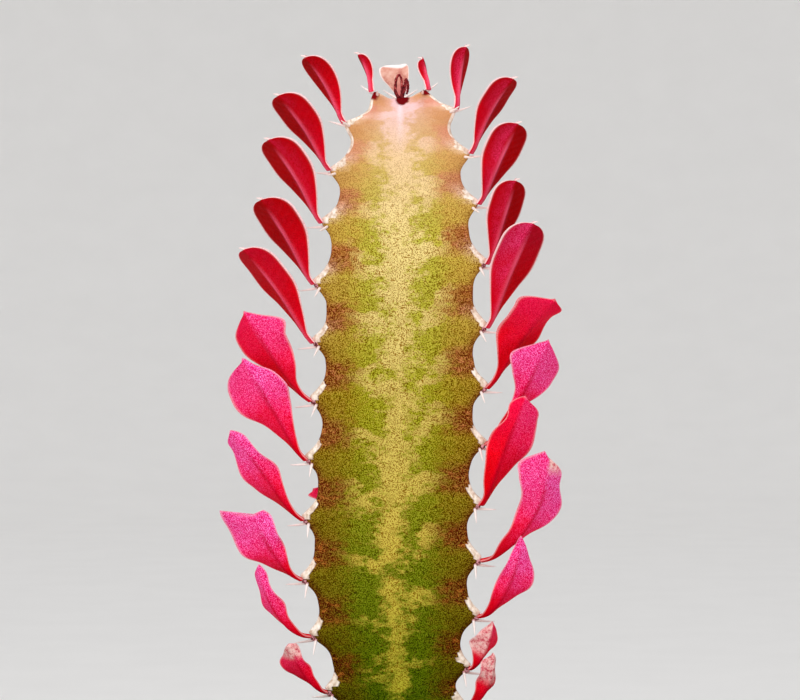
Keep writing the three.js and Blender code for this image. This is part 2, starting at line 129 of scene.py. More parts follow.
def make_piece(name, parts, finishes):
    """One object from parts of (corners in mm, faces, finish number, {attribute: values})."""
    corners = np.vstack([part[0] for part in parts])
    faces = []
    numbers = []
    start = 0
    for part_corners, part_faces, finish, _ in parts:
        faces += [[corner + start for corner in face] for face in part_faces]
        numbers += [finish] * len(part_faces)
        start += len(part_corners)
    mesh = bpy.data.meshes.new(name)
    mesh.from_pydata((corners * MM).tolist(), [], faces)
    mesh.polygons.foreach_set("material_index", numbers)
    for key in sorted({key for part in parts for key in part[3]}):
        values = [part[3].get(key, np.zeros(len(part[0]))) for part in parts]
        attribute = mesh.attributes.new(key, "FLOAT", "POINT")
        attribute.data.foreach_set("value", np.concatenate(values).astype(np.float32))
    shape = bmesh.new()
    shape.from_mesh(mesh)
    bmesh.ops.recalc_face_normals(shape, faces=shape.faces)
    shape.to_mesh(mesh)
    shape.free()
    mesh.shade_smooth()
    for finish in finishes:
        mesh.materials.append(finish)
    piece = bpy.data.objects.new(name, mesh)
    bpy.context.scene.collection.objects.link(piece)
    return piece


# %% [markdown]
# ## Helpers for finishes
#
# Every finish is made of Blender's own nodes. A few short helpers keep the recipes readable: one
# puts in a node and joins its inputs, and the others are the handful of nodes that come back.
# Colours are written as they look on a screen, 0 to 255, and turned into light here.

# %% Node helpers
def light_of(red, green, blue):
    """A colour as seen on a screen, turned into the linear light that a node wants."""
    shares = [channel / 255 for channel in (red, green, blue)]
    linear = [c / 12.92 if c <= 0.04045 else ((c + 0.055) / 1.055) ** 2.4 for c in shares]
    return (*linear, 1.0)


class Recipe:
    """A new material, and the few kinds of node that its recipe is written with."""

    def __init__(self, name, roughness, **constants):
        self.material = bpy.data.materials.new(name)
        self.material.use_nodes = True
        self.tree = self.material.node_tree
        self.shader = self.tree.nodes["Principled BSDF"]
        self.shader.inputs["Roughness"].default_value = roughness
        for key, value in constants.items():
            self.shader.inputs[key.replace("_", " ")].default_value = value
        self.place = self.put("ShaderNodeTexCoord").outputs["Object"]

    def put(self, kind, inputs=None, **settings):
        node = self.tree.nodes.new(kind)
        for key, value in settings.items():
            setattr(node, key, value)
        for key, value in (inputs or {}).items():
            if isinstance(value, bpy.types.NodeSocket):
                self.tree.links.new(value, node.inputs[key])
            else:
                node.inputs[key].default_value = value
        return node

    def noise(self, size_mm, detail=2.0, roughness=0.5, place=None):
        """Cloudy noise from 0 to 1, its clouds about size_mm across."""
        inputs = {"Vector": place or self.place, "Scale": 1 / (size_mm * MM)}
        inputs |= {"Detail": detail, "Roughness": roughness}
        return self.put("ShaderNodeTexNoise", inputs).outputs["Fac"]

    def squeezed(self, amount):
        """The place with its height times amount, so that clouds look flatter above 1."""
        inputs = {0: self.place, 1: (1.0, 1.0, amount)}
        return self.put("ShaderNodeVectorMath", inputs, operation="MULTIPLY").outputs[0]

    def read(self, attribute):
        """A number that the mesh holds at each of its points."""
        node = self.put("ShaderNodeAttribute", attribute_name=attribute)
        return node.outputs["Fac"]

    def maths(self, operation, first, second=0.0, third=0.0):
        inputs = {0: first, 1: second, 2: third}
        return self.put("ShaderNodeMath", inputs, operation=operation).outputs[0]

    def times(self, first, second):
        return self.maths("MULTIPLY", first, second)

    def sway(self, cloud, amount, base):
        """The base, moved up and down by a noise whose middle is 0.5."""
        centred = self.maths("SUBTRACT", cloud, 0.5)
        return self.maths("MULTIPLY_ADD", centred, amount, base)

    def step(self, value, low, high, start=0.0, end=1.0):
        """An eased step from start to end while the value goes from low to high."""
        inputs = {"Value": value, "From Min": low, "From Max": high, "To Min": start, "To Max": end}
        node = self.put("ShaderNodeMapRange", inputs, interpolation_type="SMOOTHSTEP")
        return node.outputs["Result"]

    def ramp(self, value, *stops):
        """A band of colours, each stop a position and its colour."""
        node = self.put("ShaderNodeValToRGB", {"Fac": value})
        band = node.color_ramp
        while len(band.elements) < len(stops):
            band.elements.new(0.5)
        for element, (position, colour) in zip(band.elements, stops):
            element.position = position
            element.color = light_of(*colour)
        return node.outputs["Color"]

    def blend(self, share, first, second, way="MIX"):
        """The first colour with a share of the second, each a colour or the output of a node."""
        inputs = {0: share}
        for key, value in ((6, first), (7, second)):
            inputs[key] = value if isinstance(value, bpy.types.NodeSocket) else light_of(*value)
        node = self.put("ShaderNodeMix", inputs, data_type="RGBA", blend_type=way)
        return node.outputs[2]

    def height_mm(self):
        split = self.put("ShaderNodeSeparateXYZ", {"Vector": self.place})
        return self.maths("MULTIPLY", split.outputs["Z"], 1 / MM)

    def bump(self, height, depth_mm, under=None):
        inputs = {"Height": height, "Distance": depth_mm * MM, "Strength": 1.0}
        if under is not None:
            inputs["Normal"] = under
        return self.put("ShaderNodeBump", inputs).outputs["Normal"]

    def finish(self, colour, normal=None):
        self.tree.links.new(colour, self.shader.inputs["Base Color"])
        if normal is not None:
            self.tree.links.new(normal, self.shader.inputs["Normal"])
        return self.material


# %% [markdown]
# ## The column
#
# The column is one grown stem. Its three ribs carry teeth about 16 mm apart, and the faces between
# them are slightly hollow. A sculpted mesh could do it, but the solids were made from a formula, so
# the same formula with many more rings gives the same form with round teeth. Each ring follows the
# teeth of its own rib up and down, so that every tip lies on a ring.

# %% Where the teeth are
# For each row of teeth from the growing tip down, and for the foot, the distance from the axis
REACH = np.array([8.4, 17.6, 22.5, 25.3, 28, 28.2, 28.6, 29, 28.8, 29.3, 27.8, 23.6, 21, 14])
FOOT_RADIUS = 12.5
FOOT_TOP = 94
FOOT_BLEND = 16
RIB_STEP = 120
# For each rib, its turn in degrees and the heights of its teeth
RIBS = {
    "right": (-30, [287.9, 282.5, 270.1, 256.1, 239.5, 221.6, 204.7, 188.7, 171.9, 156.2,
                    140.5, 125.6, 115, FOOT_TOP]),
    "rear": (90, [287.2, 276, 261, 245.5, 228.5, 211.6, 195.4, 178.8, 162, 145.5, 130, 117,
                  105, FOOT_TOP]),
    "left": (210, [287.4, 278.6, 265.4, 250.8, 233.9, 217.4, 201.1, 184.5, 167.7, 150.9,
                   134.9, 119, 108.5, FOOT_TOP]),
}
RIB_NAMES = list(RIBS)
TOOTH_ROWS = 13
BEND = 2.6
BEND_HEIGHT = 160
BEND_SPAN = 30
print("teeth:", len(RIBS) * TOOTH_ROWS)


def axis_shift(height):
    """The column leans a little to the left around its lower third."""
    return -BEND * np.exp(-(((height - BEND_HEIGHT) / BEND_SPAN) ** 2))


def reach_at(row):
    """How far the tooth tips stand from the axis, on a smooth curve through the rows."""
    last = len(REACH) - 1
    start = np.minimum(np.floor(row), last - 1).astype(int)
    share = row - start
    leaving = (REACH[start + 1] - REACH[np.maximum(start - 1, 0)]) / 2
    arriving = (REACH[np.minimum(start + 2, last)] - REACH[start]) / 2
    bent = leaving * share * (1 - share) ** 2 - arriving * share * share * (1 - share)
    return mix(REACH[start], REACH[start + 1], smooth(share, 0, 1)) + bent


# %% The form of a tooth and of a face
TOOTH_DEPTH = 4.7
SHELF_SWEEP = 2.6
YOUNG_SHELF_SWEEP = 1.9
YOUNG_TEETH = 2
SHELF_POWER = 1.3
UNDERSIDE_SWEEP = 4.1
UNDERSIDE_POWER = 2.2
FACE_SHARE = 0.43
FACE_HOLLOW = 0.9
CREST_ROUNDING = 5


def crest_drop(teeth, height):
    """How far the crest lies inside the line of tips: a shelf above each tip, a notch between."""
    drop = np.full(height.shape, TOOTH_DEPTH)
    for number, tooth in enumerate(teeth[:TOOTH_ROWS]):
        sweep = YOUNG_SHELF_SWEEP if number < YOUNG_TEETH else SHELF_SWEEP
        shelf = (np.maximum(0, height - tooth) / sweep) ** SHELF_POWER
        underside = (np.maximum(0, tooth - height) / UNDERSIDE_SWEEP) ** UNDERSIDE_POWER
        drop *= 1 - np.exp(-shelf - underside)
    return drop


def face_radius(off_rib, reach):
    """The faces between the ribs: a triangle with hollow sides and rounded corners."""
    off_middle = RIB_STEP / 2 - np.hypot(off_rib, CREST_ROUNDING)
    flat = FACE_SHARE * reach / np.cos(np.radians(off_middle))
    return flat - FACE_HOLLOW * np.sin(np.radians(off_rib * (180 / RIB_STEP))) ** 2


# %% The rings of the column
CREST_BREADTH = 7
FULL_DEPTH_REACH = 14
CROWN_SAG = 1.9
CROWN_SAG_SWEEP = 10
RINGS_A_ROW = 22
OFFSETS_A_HALF = 21

half_offsets = RIB_STEP / 2 * np.linspace(0, 1, OFFSETS_A_HALF) ** 1.5
ring_angles = np.concatenate([half_offsets, (RIB_STEP - half_offsets[::-1])[1:-1]])
ring_rows = np.arange(TOOTH_ROWS * RINGS_A_ROW) / RINGS_A_ROW
print("column:", len(ring_rows), "rings of", len(RIBS) * len(ring_angles), "points")


def column_rings():
    """Ring points, and for each how far round from its rib, its row, and how far from the crest."""
    row = ring_rows[:, None]
    start = np.floor(ring_rows).astype(int)
    reach = reach_at(row)
    deep = np.minimum(1, reach / FULL_DEPTH_REACH)
    off_rib = np.minimum(ring_angles, RIB_STEP - ring_angles)[None, :]
    near_own = (ring_angles <= RIB_STEP / 2)[None, :]
    sectors = []
    for number, name in enumerate(RIB_NAMES):
        turn, teeth = RIBS[name]
        next_teeth = RIBS[RIB_NAMES[(number + 1) % 3]][1]
        levels = []
        for own in (teeth, next_teeth):
            own = np.array(own, float)
            levels.append(mix(own[start], own[start + 1], ring_rows - start)[:, None])
        level = mix(levels[0], levels[1], smooth(ring_angles, 0, RIB_STEP)[None, :])
        sag = CROWN_SAG * np.maximum(0, 1 - row) * (1 - np.exp(-((off_rib / CROWN_SAG_SWEEP) ** 2)))
        height = level - sag
        drops = [crest_drop(teeth, levels[0]), crest_drop(next_teeth, levels[1])]
        crest = reach - deep * np.where(near_own, drops[0], drops[1])
        ridge = (crest - face_radius(0, reach)) * np.exp(-((off_rib / CREST_BREADTH) ** 2))
        ribbed = smooth(height, FOOT_TOP, FOOT_TOP + FOOT_BLEND)
        radius = mix(FOOT_RADIUS, face_radius(off_rib, reach) + ridge, ribbed)
        angle = np.radians(turn + ring_angles)[None, :]
        along_x = axis_shift(height) + radius * np.cos(angle)
        place = np.stack([along_x, radius * np.sin(angle), height], axis=-1)
        from_crest = np.hypot(radius - crest, crest * np.sin(np.radians(off_rib)))
        sectors.append((place, off_rib + 0 * row, row + 0 * off_rib, from_crest))
    return [np.concatenate(values, axis=1) for values in zip(*sectors)]


# %% Skin of the column
CROWN_FLOOR = RIBS["right"][1][0] - 4
CROWN_STEPS = [0.12, 0.3, 0.5, 0.7, 0.88]
FOOT_FLOOR = 64.3
FOOT_HEIGHTS = [FOOT_TOP - 1, FOOT_FLOOR + 2, FOOT_FLOOR]
# For each swell of the skin, its size, its seed and its height
SKIN_SWELLS = [(9, 11, 0.16), (3.2, 12, 0.05)]
SHIELD_HEIGHT = 0.15


def tooth_marks(row, from_crest):
    """Where the hard pale shields lie on the teeth, and the painted highlight on the shelf tops of
    young teeth.
    """
    phase = row - np.floor(row)
    breadth = 0.4 + 2.0 * smooth(phase, 0.72, 0.97)
    shield = smooth(from_crest, breadth + 0.4, breadth - 0.3) * smooth(phase, 0.7, 0.8)
    shield = np.maximum(shield, smooth(from_crest, 2.3, 1.6) * smooth(phase, 0.07, 0.04))
    shield = shield * smooth(row, 0.35, 0.8)
    pale_crest = smooth(from_crest, 1.0, 0.5) * smooth(row, 1.9, 1.5)
    shield = np.maximum(shield, pale_crest * 0.8)
    near_tip = np.maximum(smooth(phase, 0.55, 0.98), smooth(phase, 0.1, 0))
    # The painted highlight on the shelf tops, above and just below each young tip.
    shelf = smooth(from_crest, 6.5, 0.5) * near_tip * smooth(row, 6, 2)
    return shield, shelf


def crown_rings(top_ring):
    """Rings inside the top ring, down to the shallow floor of the growing tip."""
    rings = []
    for share in CROWN_STEPS:
        ring = top_ring * [share, share, 1]
        ring[:, 2] = mix(top_ring[:, 2], CROWN_FLOOR, 1 - share)
        rings.append(ring)
    return np.array(rings)


def foot_rings(last_ring):
    """Rings under the last one, which carry the round foot down into the soil."""
    angle = np.arctan2(last_ring[:, 1], last_ring[:, 0] - axis_shift(last_ring[:, 2]))
    outline = np.stack([FOOT_RADIUS * np.cos(angle), FOOT_RADIUS * np.sin(angle), 0 * angle], axis=-1)
    return np.array([outline + [0, 0, height] for height in FOOT_HEIGHTS])


def column_part():
    rings, off_rib, row, from_crest = column_rings()
    shield, shelf = tooth_marks(row, from_crest)
    skin = sum(swell(rings, size, seed) * height for size, seed, height in SKIN_SWELLS)
    skin = skin * smooth(row, 0, 1.5) + shield * SHIELD_HEIGHT
    rings = rings + unit(rings * [1, 1, 0]) * skin[..., None]
    crown = crown_rings(rings[0])
    foot = foot_rings(rings[-1])

    def spread(values):
        upper = np.repeat(values[:1], len(crown), axis=0)
        lower = np.repeat(values[-1:], len(foot), axis=0)
        return ends_too(np.concatenate([upper, values, lower]), values[0].mean(), values[-1].mean())

    everything = np.concatenate([crown, rings, foot])
    corners, faces = loft(everything, np.array([0, 0, CROWN_FLOOR]), np.array([0, 0, FOOT_FLOOR]))
    off_middle = np.tan(np.radians(RIB_STEP / 2 - off_rib))
    marks = {
        "across": spread(off_middle / math.tan(math.radians(RIB_STEP / 2))),
        "row": spread(row),
        "shield": spread(shield),
        "shelf": spread(shelf),
        "from_crest": spread(from_crest),
    }
    return corners, faces, 0, marks


column = column_part()
print("column:", len(column[1]), "faces")

# %% [markdown]
# ## Spines and areoles
#
# At each tooth two thin spines grow from a small woolly spot, the areole, just under the leaf. They
# are part of the stem, so they go into the same object. Straight cones would be quicker, but these
# bend a little: each is a tapered tube with its root inside the tooth. The young ones at the top
# point out, and the old ones droop, one of each pair the more.

# %% Tubes
UP = np.array([0.0, 0.0, 1.0])


def tooth_tip(rib, row):
    """The tip of a tooth, with the directions out of the rib and level along its flank."""
    turn, teeth = RIBS[rib]
    angle = math.radians(turn)
    out = np.array([math.cos(angle), math.sin(angle), 0])
    flank = np.array([-out[1], out[0], 0])
    tip = np.array([axis_shift(teeth[row]), 0, teeth[row]]) + out * REACH[row]
    return tip, out, flank


def tube(line, radii, around=8):
    """Rings of points round a line, as wide as radii."""
    ahead = unit(np.gradient(line, axis=0))
    side = unit(np.cross(ahead, [0.31, 0.22, 0.92]))
    over = np.cross(side, ahead)
    turn = np.linspace(0, 2 * math.pi, around, endpoint=False)[None, :, None]
    ring = side[:, None] * np.cos(turn) + over[:, None] * np.sin(turn)
    return line[:, None] + ring * np.asarray(radii)[:, None, None]


# %% Spines
LEAFY_ROWS = {"right": 13, "rear": 12, "left": 12}
YOUNG_ROWS = 4
SPINE_LENGTH = 5.6
SPINE_RADIUS = 0.42
SPINE_STEPS = 10
SPINE_SIDES = 8
SPINE_ROOT = 1.2
SPINE_INSET = [0.7, 1.7]
SPINE_SETDOWN = [0.9, 2.4]
SPINE_HALF_GAP = 0.5
SPINE_BEND = 0.012
SPINE_SPREAD = 34
CROWN_SPREAD = 60
CROWN_HANG = 36
SPINE_DROOP = [-34, 10]
SPINE_HANG = 46
HANGING_ROWS = 8
SPINE_WANDER = 4


def spine_aim(random, row, way, out, flank):
    """The direction of one spine of a pair: up and out when young, drooping when old."""
    hangs = way * flank[1] < 0 if abs(flank[1]) > 0.5 else way > 0
    hang = CROWN_HANG * abs(flank[1]) if row == 0 else SPINE_HANG * min(1, row / HANGING_ROWS)
    droop = mix(*SPINE_DROOP, math.sqrt(min(1, row / YOUNG_ROWS))) + (hang if hangs else 0)
    droop = math.radians(droop + random.uniform(-SPINE_WANDER, SPINE_WANDER))
    spread = CROWN_SPREAD if row == 0 else SPINE_SPREAD
    spread = math.radians(spread + random.uniform(-SPINE_WANDER, SPINE_WANDER))
    aim = -UP * math.sin(droop) + out * math.cos(spread) * math.cos(droop)
    return unit(aim + flank * way * math.sin(spread))


def spine_part(rib, row, way, seed):
    random = np.random.default_rng(seed)
    tip, out, flank = tooth_tip(rib, row)
    age = min(1, row / YOUNG_ROWS)
    aim = spine_aim(random, row, way, out, flank)
    root = tip - out * mix(*SPINE_INSET, age) + flank * SPINE_HALF_GAP * way
    root = root - UP * mix(*SPINE_SETDOWN, age)
    length = SPINE_LENGTH * random.uniform(0.94, 1.0)
    along = np.linspace(-SPINE_ROOT, length, SPINE_STEPS)
    bend = np.maximum(along, 0)[:, None] ** 2 * SPINE_BEND * (UP + flank * way * 0.6)
    share = np.clip(along / length, 0, 1)
    line = root + aim * along[:, None] + bend
    corners, faces = loft(tube(line, SPINE_RADIUS * (1 - 0.8 * share ** 1.6), SPINE_SIDES))
    return corners, faces, 1, {"along": ends_too(np.repeat(share, SPINE_SIDES), 0, 1)}


# %% Areoles
AREOLE_RADIUS = 0.85
AREOLE_HALF_LENGTH = 0.95


def areole_part(rib, row):
    tip, out, _ = tooth_tip(rib, row)
    age = min(1, row / YOUNG_ROWS)
    size = mix(0.5, 1, age)
    centre = tip - out * mix(0.75, 1.05, age) - UP * mix(0.35, 1.5, age)
    lean = np.linspace(0.2, math.pi - 0.2, 7)
    line = centre - (np.cos(lean) * AREOLE_HALF_LENGTH * size)[:, None] * unit(out * 0.6 - UP)
    corners, faces = loft(tube(line, np.sin(lean) * AREOLE_RADIUS * size, 10))
    return corners, faces, 2, {"youth": np.full(len(corners), 1 - age)}


growths = []
for rib, rows in LEAFY_ROWS.items():
    for row in range(rows):
        growths.append(areole_part(rib, row))
        for way in (-1, 1):
            growths.append(spine_part(rib, row, way, 100 + row * 7 + len(growths)))
print("spines and areoles:", len(growths))

# %% [markdown]
# ## The column's skin
#
# The skin is marbled: a pale, ragged band runs down the middle of each face, with arms out to the
# notches, and green blotches lie between them at the height of the teeth. It is pink at the growing
# tip, cream and yellow-green below it and green further down. A painted picture would be the usual
# way. Here one field of numbers, made from the rows and a few noises, is cut at a level, so that
# the marbling never repeats and goes all round.

# %% Marbling
SKIN_FOOT = 110
SKIN_SPAN = 180


class SkinRecipe(Recipe):
    """The recipe of the skin, with the readings and the noises that its layers share."""

    def __init__(self):
        super().__init__("column_skin", 0.6, Specular_IOR_Level=0.02)
        self.height = self.height_mm()
        self.level = self.maths("DIVIDE", self.maths("SUBTRACT", self.height, SKIN_FOOT), SKIN_SPAN)
        self.across = self.read("across")
        self.row = self.read("row")
        self.from_crest = self.read("from_crest")
        self.broad = self.noise(15, 1, 0.5, self.squeezed(1.3))
        self.cloud = self.noise(6, 2, 0.5, self.squeezed(1.5))
        self.ragged = self.noise(2.6, 5, 0.72, self.squeezed(1.8))
        self.grain = self.noise(0.3, 1, 0.5)


def marble_field(skin):
    """One number a point: above 0 on the pale band and its arms, below 0 on the green."""
    arm_row = skin.maths("MULTIPLY_ADD", skin.across, 0.4, skin.row)
    arm_row = skin.sway(skin.broad, 1.1, arm_row)
    arm_row = skin.sway(skin.cloud, 0.6, arm_row)
    wave = skin.maths("COSINE", skin.times(arm_row, 2 * math.pi))
    arm_limit = skin.step(skin.level, 0.1, 1.0, 0.95, 0.4)
    arm = skin.times(skin.maths("SUBTRACT", wave, arm_limit), 0.7)
    reach = skin.step(skin.level, 0.0, 1.0, 0.14, 0.26)
    band = skin.times(skin.maths("SUBTRACT", reach, skin.across), 2.2)
    field = skin.put("ShaderNodeMath", {0: band, 1: arm, 2: 0.3}, operation="SMOOTH_MAX").outputs[0]
    field = skin.sway(skin.broad, 1.2, field)
    field = skin.sway(skin.cloud, 1.2, field)
    field = skin.sway(skin.ragged, 2.6, field)
    return skin.sway(skin.grain, 0.5, field)


def marbled(skin):
    pale = skin.ramp(skin.level, (0.0, (178, 176, 44)), (0.25, (192, 172, 66)), (0.5, (200, 180, 92)),
                     (0.76, (230, 210, 138)), (0.88, (230, 198, 152)), (0.97, (232, 192, 196)))
    green = skin.ramp(skin.level, (0.0, (62, 92, 0)), (0.25, (96, 112, 0)), (0.5, (144, 146, 14)),
                      (0.76, (176, 172, 56)), (0.88, (204, 174, 98)), (0.97, (218, 166, 146)))
    return skin.blend(skin.step(marble_field(skin), -0.32, 0.34), green, pale)


# %% [markdown]
# ## Browned ribs
#
# Towards the ribs the skin turns golden and, on the crests lower down, brown: partly its own colour
# and partly painted shade where the ribs curve away from the light. The notches between the teeth
# are brown, with a blush of copper. The shelf tops of the young teeth near the tip get a painted
# highlight instead, as of light from above. Each of these is a layer over the marbling, and its
# share comes from how near the rib and how deep in a notch a point is.

# %% Rib colours
NOTCH_TURN = -1.3 * math.pi


def browned_and_shaded(skin, colour):
    near_rib = skin.sway(skin.ragged, 0.7, skin.across)
    # Gold towards the ribs: partly the skin's own colour, partly painted shade on the rib flanks.
    gold_and_shade = skin.ramp(skin.level, (0.0, (80, 66, 0)), (0.3, (112, 88, 0)), (0.5, (138, 106, 8)),
                     (0.76, (194, 158, 66)), (0.95, (206, 146, 98)))
    colour = skin.blend(skin.step(near_rib, 0.34, 0.86, 0.0, 0.9), colour, gold_and_shade)
    brown = skin.ramp(skin.level, (0.0, (74, 22, 0)), (0.3, (100, 28, 4)), (0.55, (118, 44, 10)),
                      (0.75, (152, 76, 30)), (0.9, (204, 138, 104)), (1.0, (222, 150, 136)))
    notch_wave = skin.maths("COSINE", skin.maths("MULTIPLY_ADD", skin.row, 2 * math.pi, NOTCH_TURN))
    notch = skin.step(notch_wave, -0.5, 0.7)
    brown_share = skin.times(skin.step(near_rib, 0.5, 0.82), notch)
    colour = skin.blend(skin.times(brown_share, 0.95), colour, brown)
    # Brown on the lower crests: partly the skin's own colour, partly painted shade at the rib edges.
    crest = skin.step(skin.across, 0.82, 0.97)
    crest = skin.times(crest, skin.step(skin.level, 0.85, 0.5, 0.0, 0.85))
    colour = skin.blend(crest, colour, brown)
    blush = skin.times(skin.step(skin.across, 0.55, 0.9), skin.step(skin.ragged, 0.53, 0.6))
    copper = skin.ramp(skin.level, (0.3, (184, 100, 40)), (0.8, (210, 132, 96)))
    return skin.blend(skin.times(skin.times(blush, notch), 0.6), colour, copper)


def painted_shelf_highlight(skin, colour):
    # Painted highlight: the shelf tops of the young teeth are made pale, as if lit from above.
    shelf = skin.times(skin.read("shelf"), skin.step(skin.ragged, 0.38, 0.6, 0.35, 1.0))
    return skin.blend(skin.times(shelf, 0.85), colour, (244, 224, 204))


# %% [markdown]
# ## Grain, shields and the growing tip
#
# A fine grain, dark and light, covers the skin and fades out towards the young tip. The shields on
# the teeth are hard and cream-coloured, with streaks. The tip itself has a painted pale pink
# highlight down the middle of each face, a dark red spot where the bracts stand and dark red round
# its first teeth, and the foot of the column is corky. They could be painted on one after another,
# and so they are here: every layer is a short function, so that one can be changed without the
# others.

# %% Grain and painted highlight
def painted_tip_highlight(skin, colour):
    # Painted highlight: a pale pink stripe down the middle of each face near the tip.
    middle = skin.step(skin.across, 0.12, 0.0)
    streak = skin.times(middle, skin.step(skin.level, 0.88, 0.97, 0.0, 0.5))
    return skin.blend(streak, colour, (250, 228, 238))


def grained(skin, colour):
    speckled = skin.step(skin.level, 0.98, 0.7, 0.1, 1.0)
    dark = skin.times(skin.step(skin.grain, 0.5, 0.6), speckled)
    colour = skin.blend(dark, colour, (168, 136, 70), "MULTIPLY")
    light = skin.times(skin.step(skin.grain, 0.5, 0.4, 0.0, 0.45), speckled)
    glint = skin.ramp(skin.level, (0.1, (112, 118, 20)), (0.5, (178, 152, 66)))
    return skin.blend(light, colour, glint, "SCREEN")


# %% Shields, tip and foot
BUD_FOOT = (0.0006, -0.0034, 0.2852)
BUD_SPOT = (0.0031, 0.0023)
CORK_TOP = (112, 101)


def shielded(skin, colour):
    streaks = skin.noise(1.1, 3, 0.6, skin.squeezed(0.5))
    cream = skin.ramp(streaks, (0.35, (202, 178, 156)), (0.5, (230, 216, 198)), (0.65, (250, 243, 232)))
    return skin.blend(skin.step(skin.read("shield"), 0.25, 0.55), colour, cream)


def dark_tip(skin, colour):
    bud = skin.put("ShaderNodeVectorMath", {0: skin.place, 1: BUD_FOOT}, operation="DISTANCE")
    bud_size = skin.maths("MULTIPLY_ADD", skin.ragged, 0.0016, bud.outputs["Value"])
    colour = skin.blend(skin.step(bud_size, *BUD_SPOT), colour, (104, 6, 12))
    first_teeth = skin.times(skin.step(skin.from_crest, 2.0, 1.0), skin.step(skin.row, 0.3, 0.2))
    return skin.blend(first_teeth, colour, (128, 10, 18))


def corky_foot(skin, colour):
    cork = skin.blend(skin.noise(1.6, 4, 0.7), (120, 92, 62), (176, 146, 104))
    ragged_height = skin.maths("MULTIPLY_ADD", skin.cloud, 14, skin.height)
    return skin.blend(skin.step(ragged_height, *CORK_TOP), colour, cork)


def skin_finish():
    skin = SkinRecipe()
    colour = marbled(skin)
    for layer in (browned_and_shaded, painted_shelf_highlight, painted_tip_highlight, grained, shielded, dark_tip, corky_foot):
        colour = layer(skin, colour)
    normal = skin.bump(skin.noise(2.2, 3, 0.6), 0.16, skin.bump(skin.grain, 0.05))
    return skin.finish(colour, normal)


# %% Finish of the spines and areoles
def spine_finish():
    spine = Recipe("spine", 0.4, Specular_IOR_Level=0.4)
    streak = spine.noise(0.8, 3)
    pale = spine.blend(streak, (255, 250, 246), (244, 224, 218))
    colour = spine.blend(spine.step(spine.read("along"), 0.12, 0.0), pale, (190, 110, 118))
    return spine.finish(colour, spine.bump(streak, 0.05))


def areole_finish():
    areole = Recipe("areole", 0.85)
    wool = areole.noise(0.5, 3)
    colour = areole.blend(areole.step(wool, 0.4, 0.6), (96, 30, 34), (226, 160, 170))
    young = areole.blend(wool, (90, 4, 8), (150, 30, 30))
    colour = areole.blend(areole.read("youth"), colour, young)
    return areole.finish(colour, areole.bump(wool, 0.15))


stem = make_piece("stem_grown", [column, *growths], [skin_finish(), spine_finish(), areole_finish()])
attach(stem, "root")
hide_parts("stem")
print("stem:", len(stem.data.polygons), "faces")

# %% [markdown]
# ## The curled bracts
#
# Two dark dry bracts stand out of the growing tip, each bent over like a hair pin. A curve with a
# bevel would do, but one tube that is bent so tightly runs through itself. So each bract is made of
# two simple tapered tubes that meet at the bend.

# %% Bracts
# For each tube, where it goes to the side and up
BRACT_ROUTES = [
    [[-0.4, 285.8], [-1.3, 287.8], [-1.1, 291], [-0.3, 292.4], [0.35, 291.5]],
    [[0.4, 285.8], [0.6, 287.6], [0.5, 290.4], [0.3, 291.8]],
    [[0.6, 285.9], [1.1, 288], [1.5, 290.2], [1.7, 291.4]],
    [[1.5, 291.2], [2.1, 290.4], [2.3, 288.6], [1.9, 286.9]],
]
BRACT_FRONT = -2
BRACT_RADIUS = 0.52
BRACT_TAPER = 0.45
BRACT_CREASE = 0.05
BRACT_STEPS = 40


def bract_part(route):
    points = np.array([[x, BRACT_FRONT, z] for x, z in route])
    share = np.linspace(0, 1, BRACT_STEPS)
    line = through(np.linspace(0, 1, len(points)), points, share)
    radii = BRACT_RADIUS * (1 - BRACT_TAPER * share) + BRACT_CREASE * np.sin(share * 40)
    corners, faces = loft(tube(line, radii, 12))
    return corners, faces, 0, {}


def bract_finish():
    bract = Recipe("dry_bract", 0.6, Specular_IOR_Level=0.15)
    flake_and_glint = bract.noise(0.9, 4, 0.7)
    # Dark maroon flakes, with lighter red and pink at the peaks of the noise as painted glints.
    colour = bract.ramp(flake_and_glint, (0.3, (56, 6, 10)), (0.5, (104, 14, 22)), (0.6, (150, 40, 44)),
                        (0.7, (214, 128, 116)))
    return bract.finish(colour, bract.bump(flake_and_glint, 0.2))


bracts = make_piece("tip_bracts_curled", [bract_part(r) for r in BRACT_ROUTES], [bract_finish()])
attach(bracts, "root")
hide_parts("tip_bracts")
print("bracts:", len(bracts.data.polygons), "faces")

# %% [markdown]
# ## The leaves
#
# A leaf is a thick, spoon-shaped blade on a short stalk that bends up from under its tooth. The
# upper leaves are smooth, and the lower ones waved, squared or curled. Each comes from one row of
# numbers, the same as for its solid, so that it stays in the solid's place. The finer mesh adds a
# soft edge, a midrib, side veins and, on the young ones, a thin pale point that bends outward.

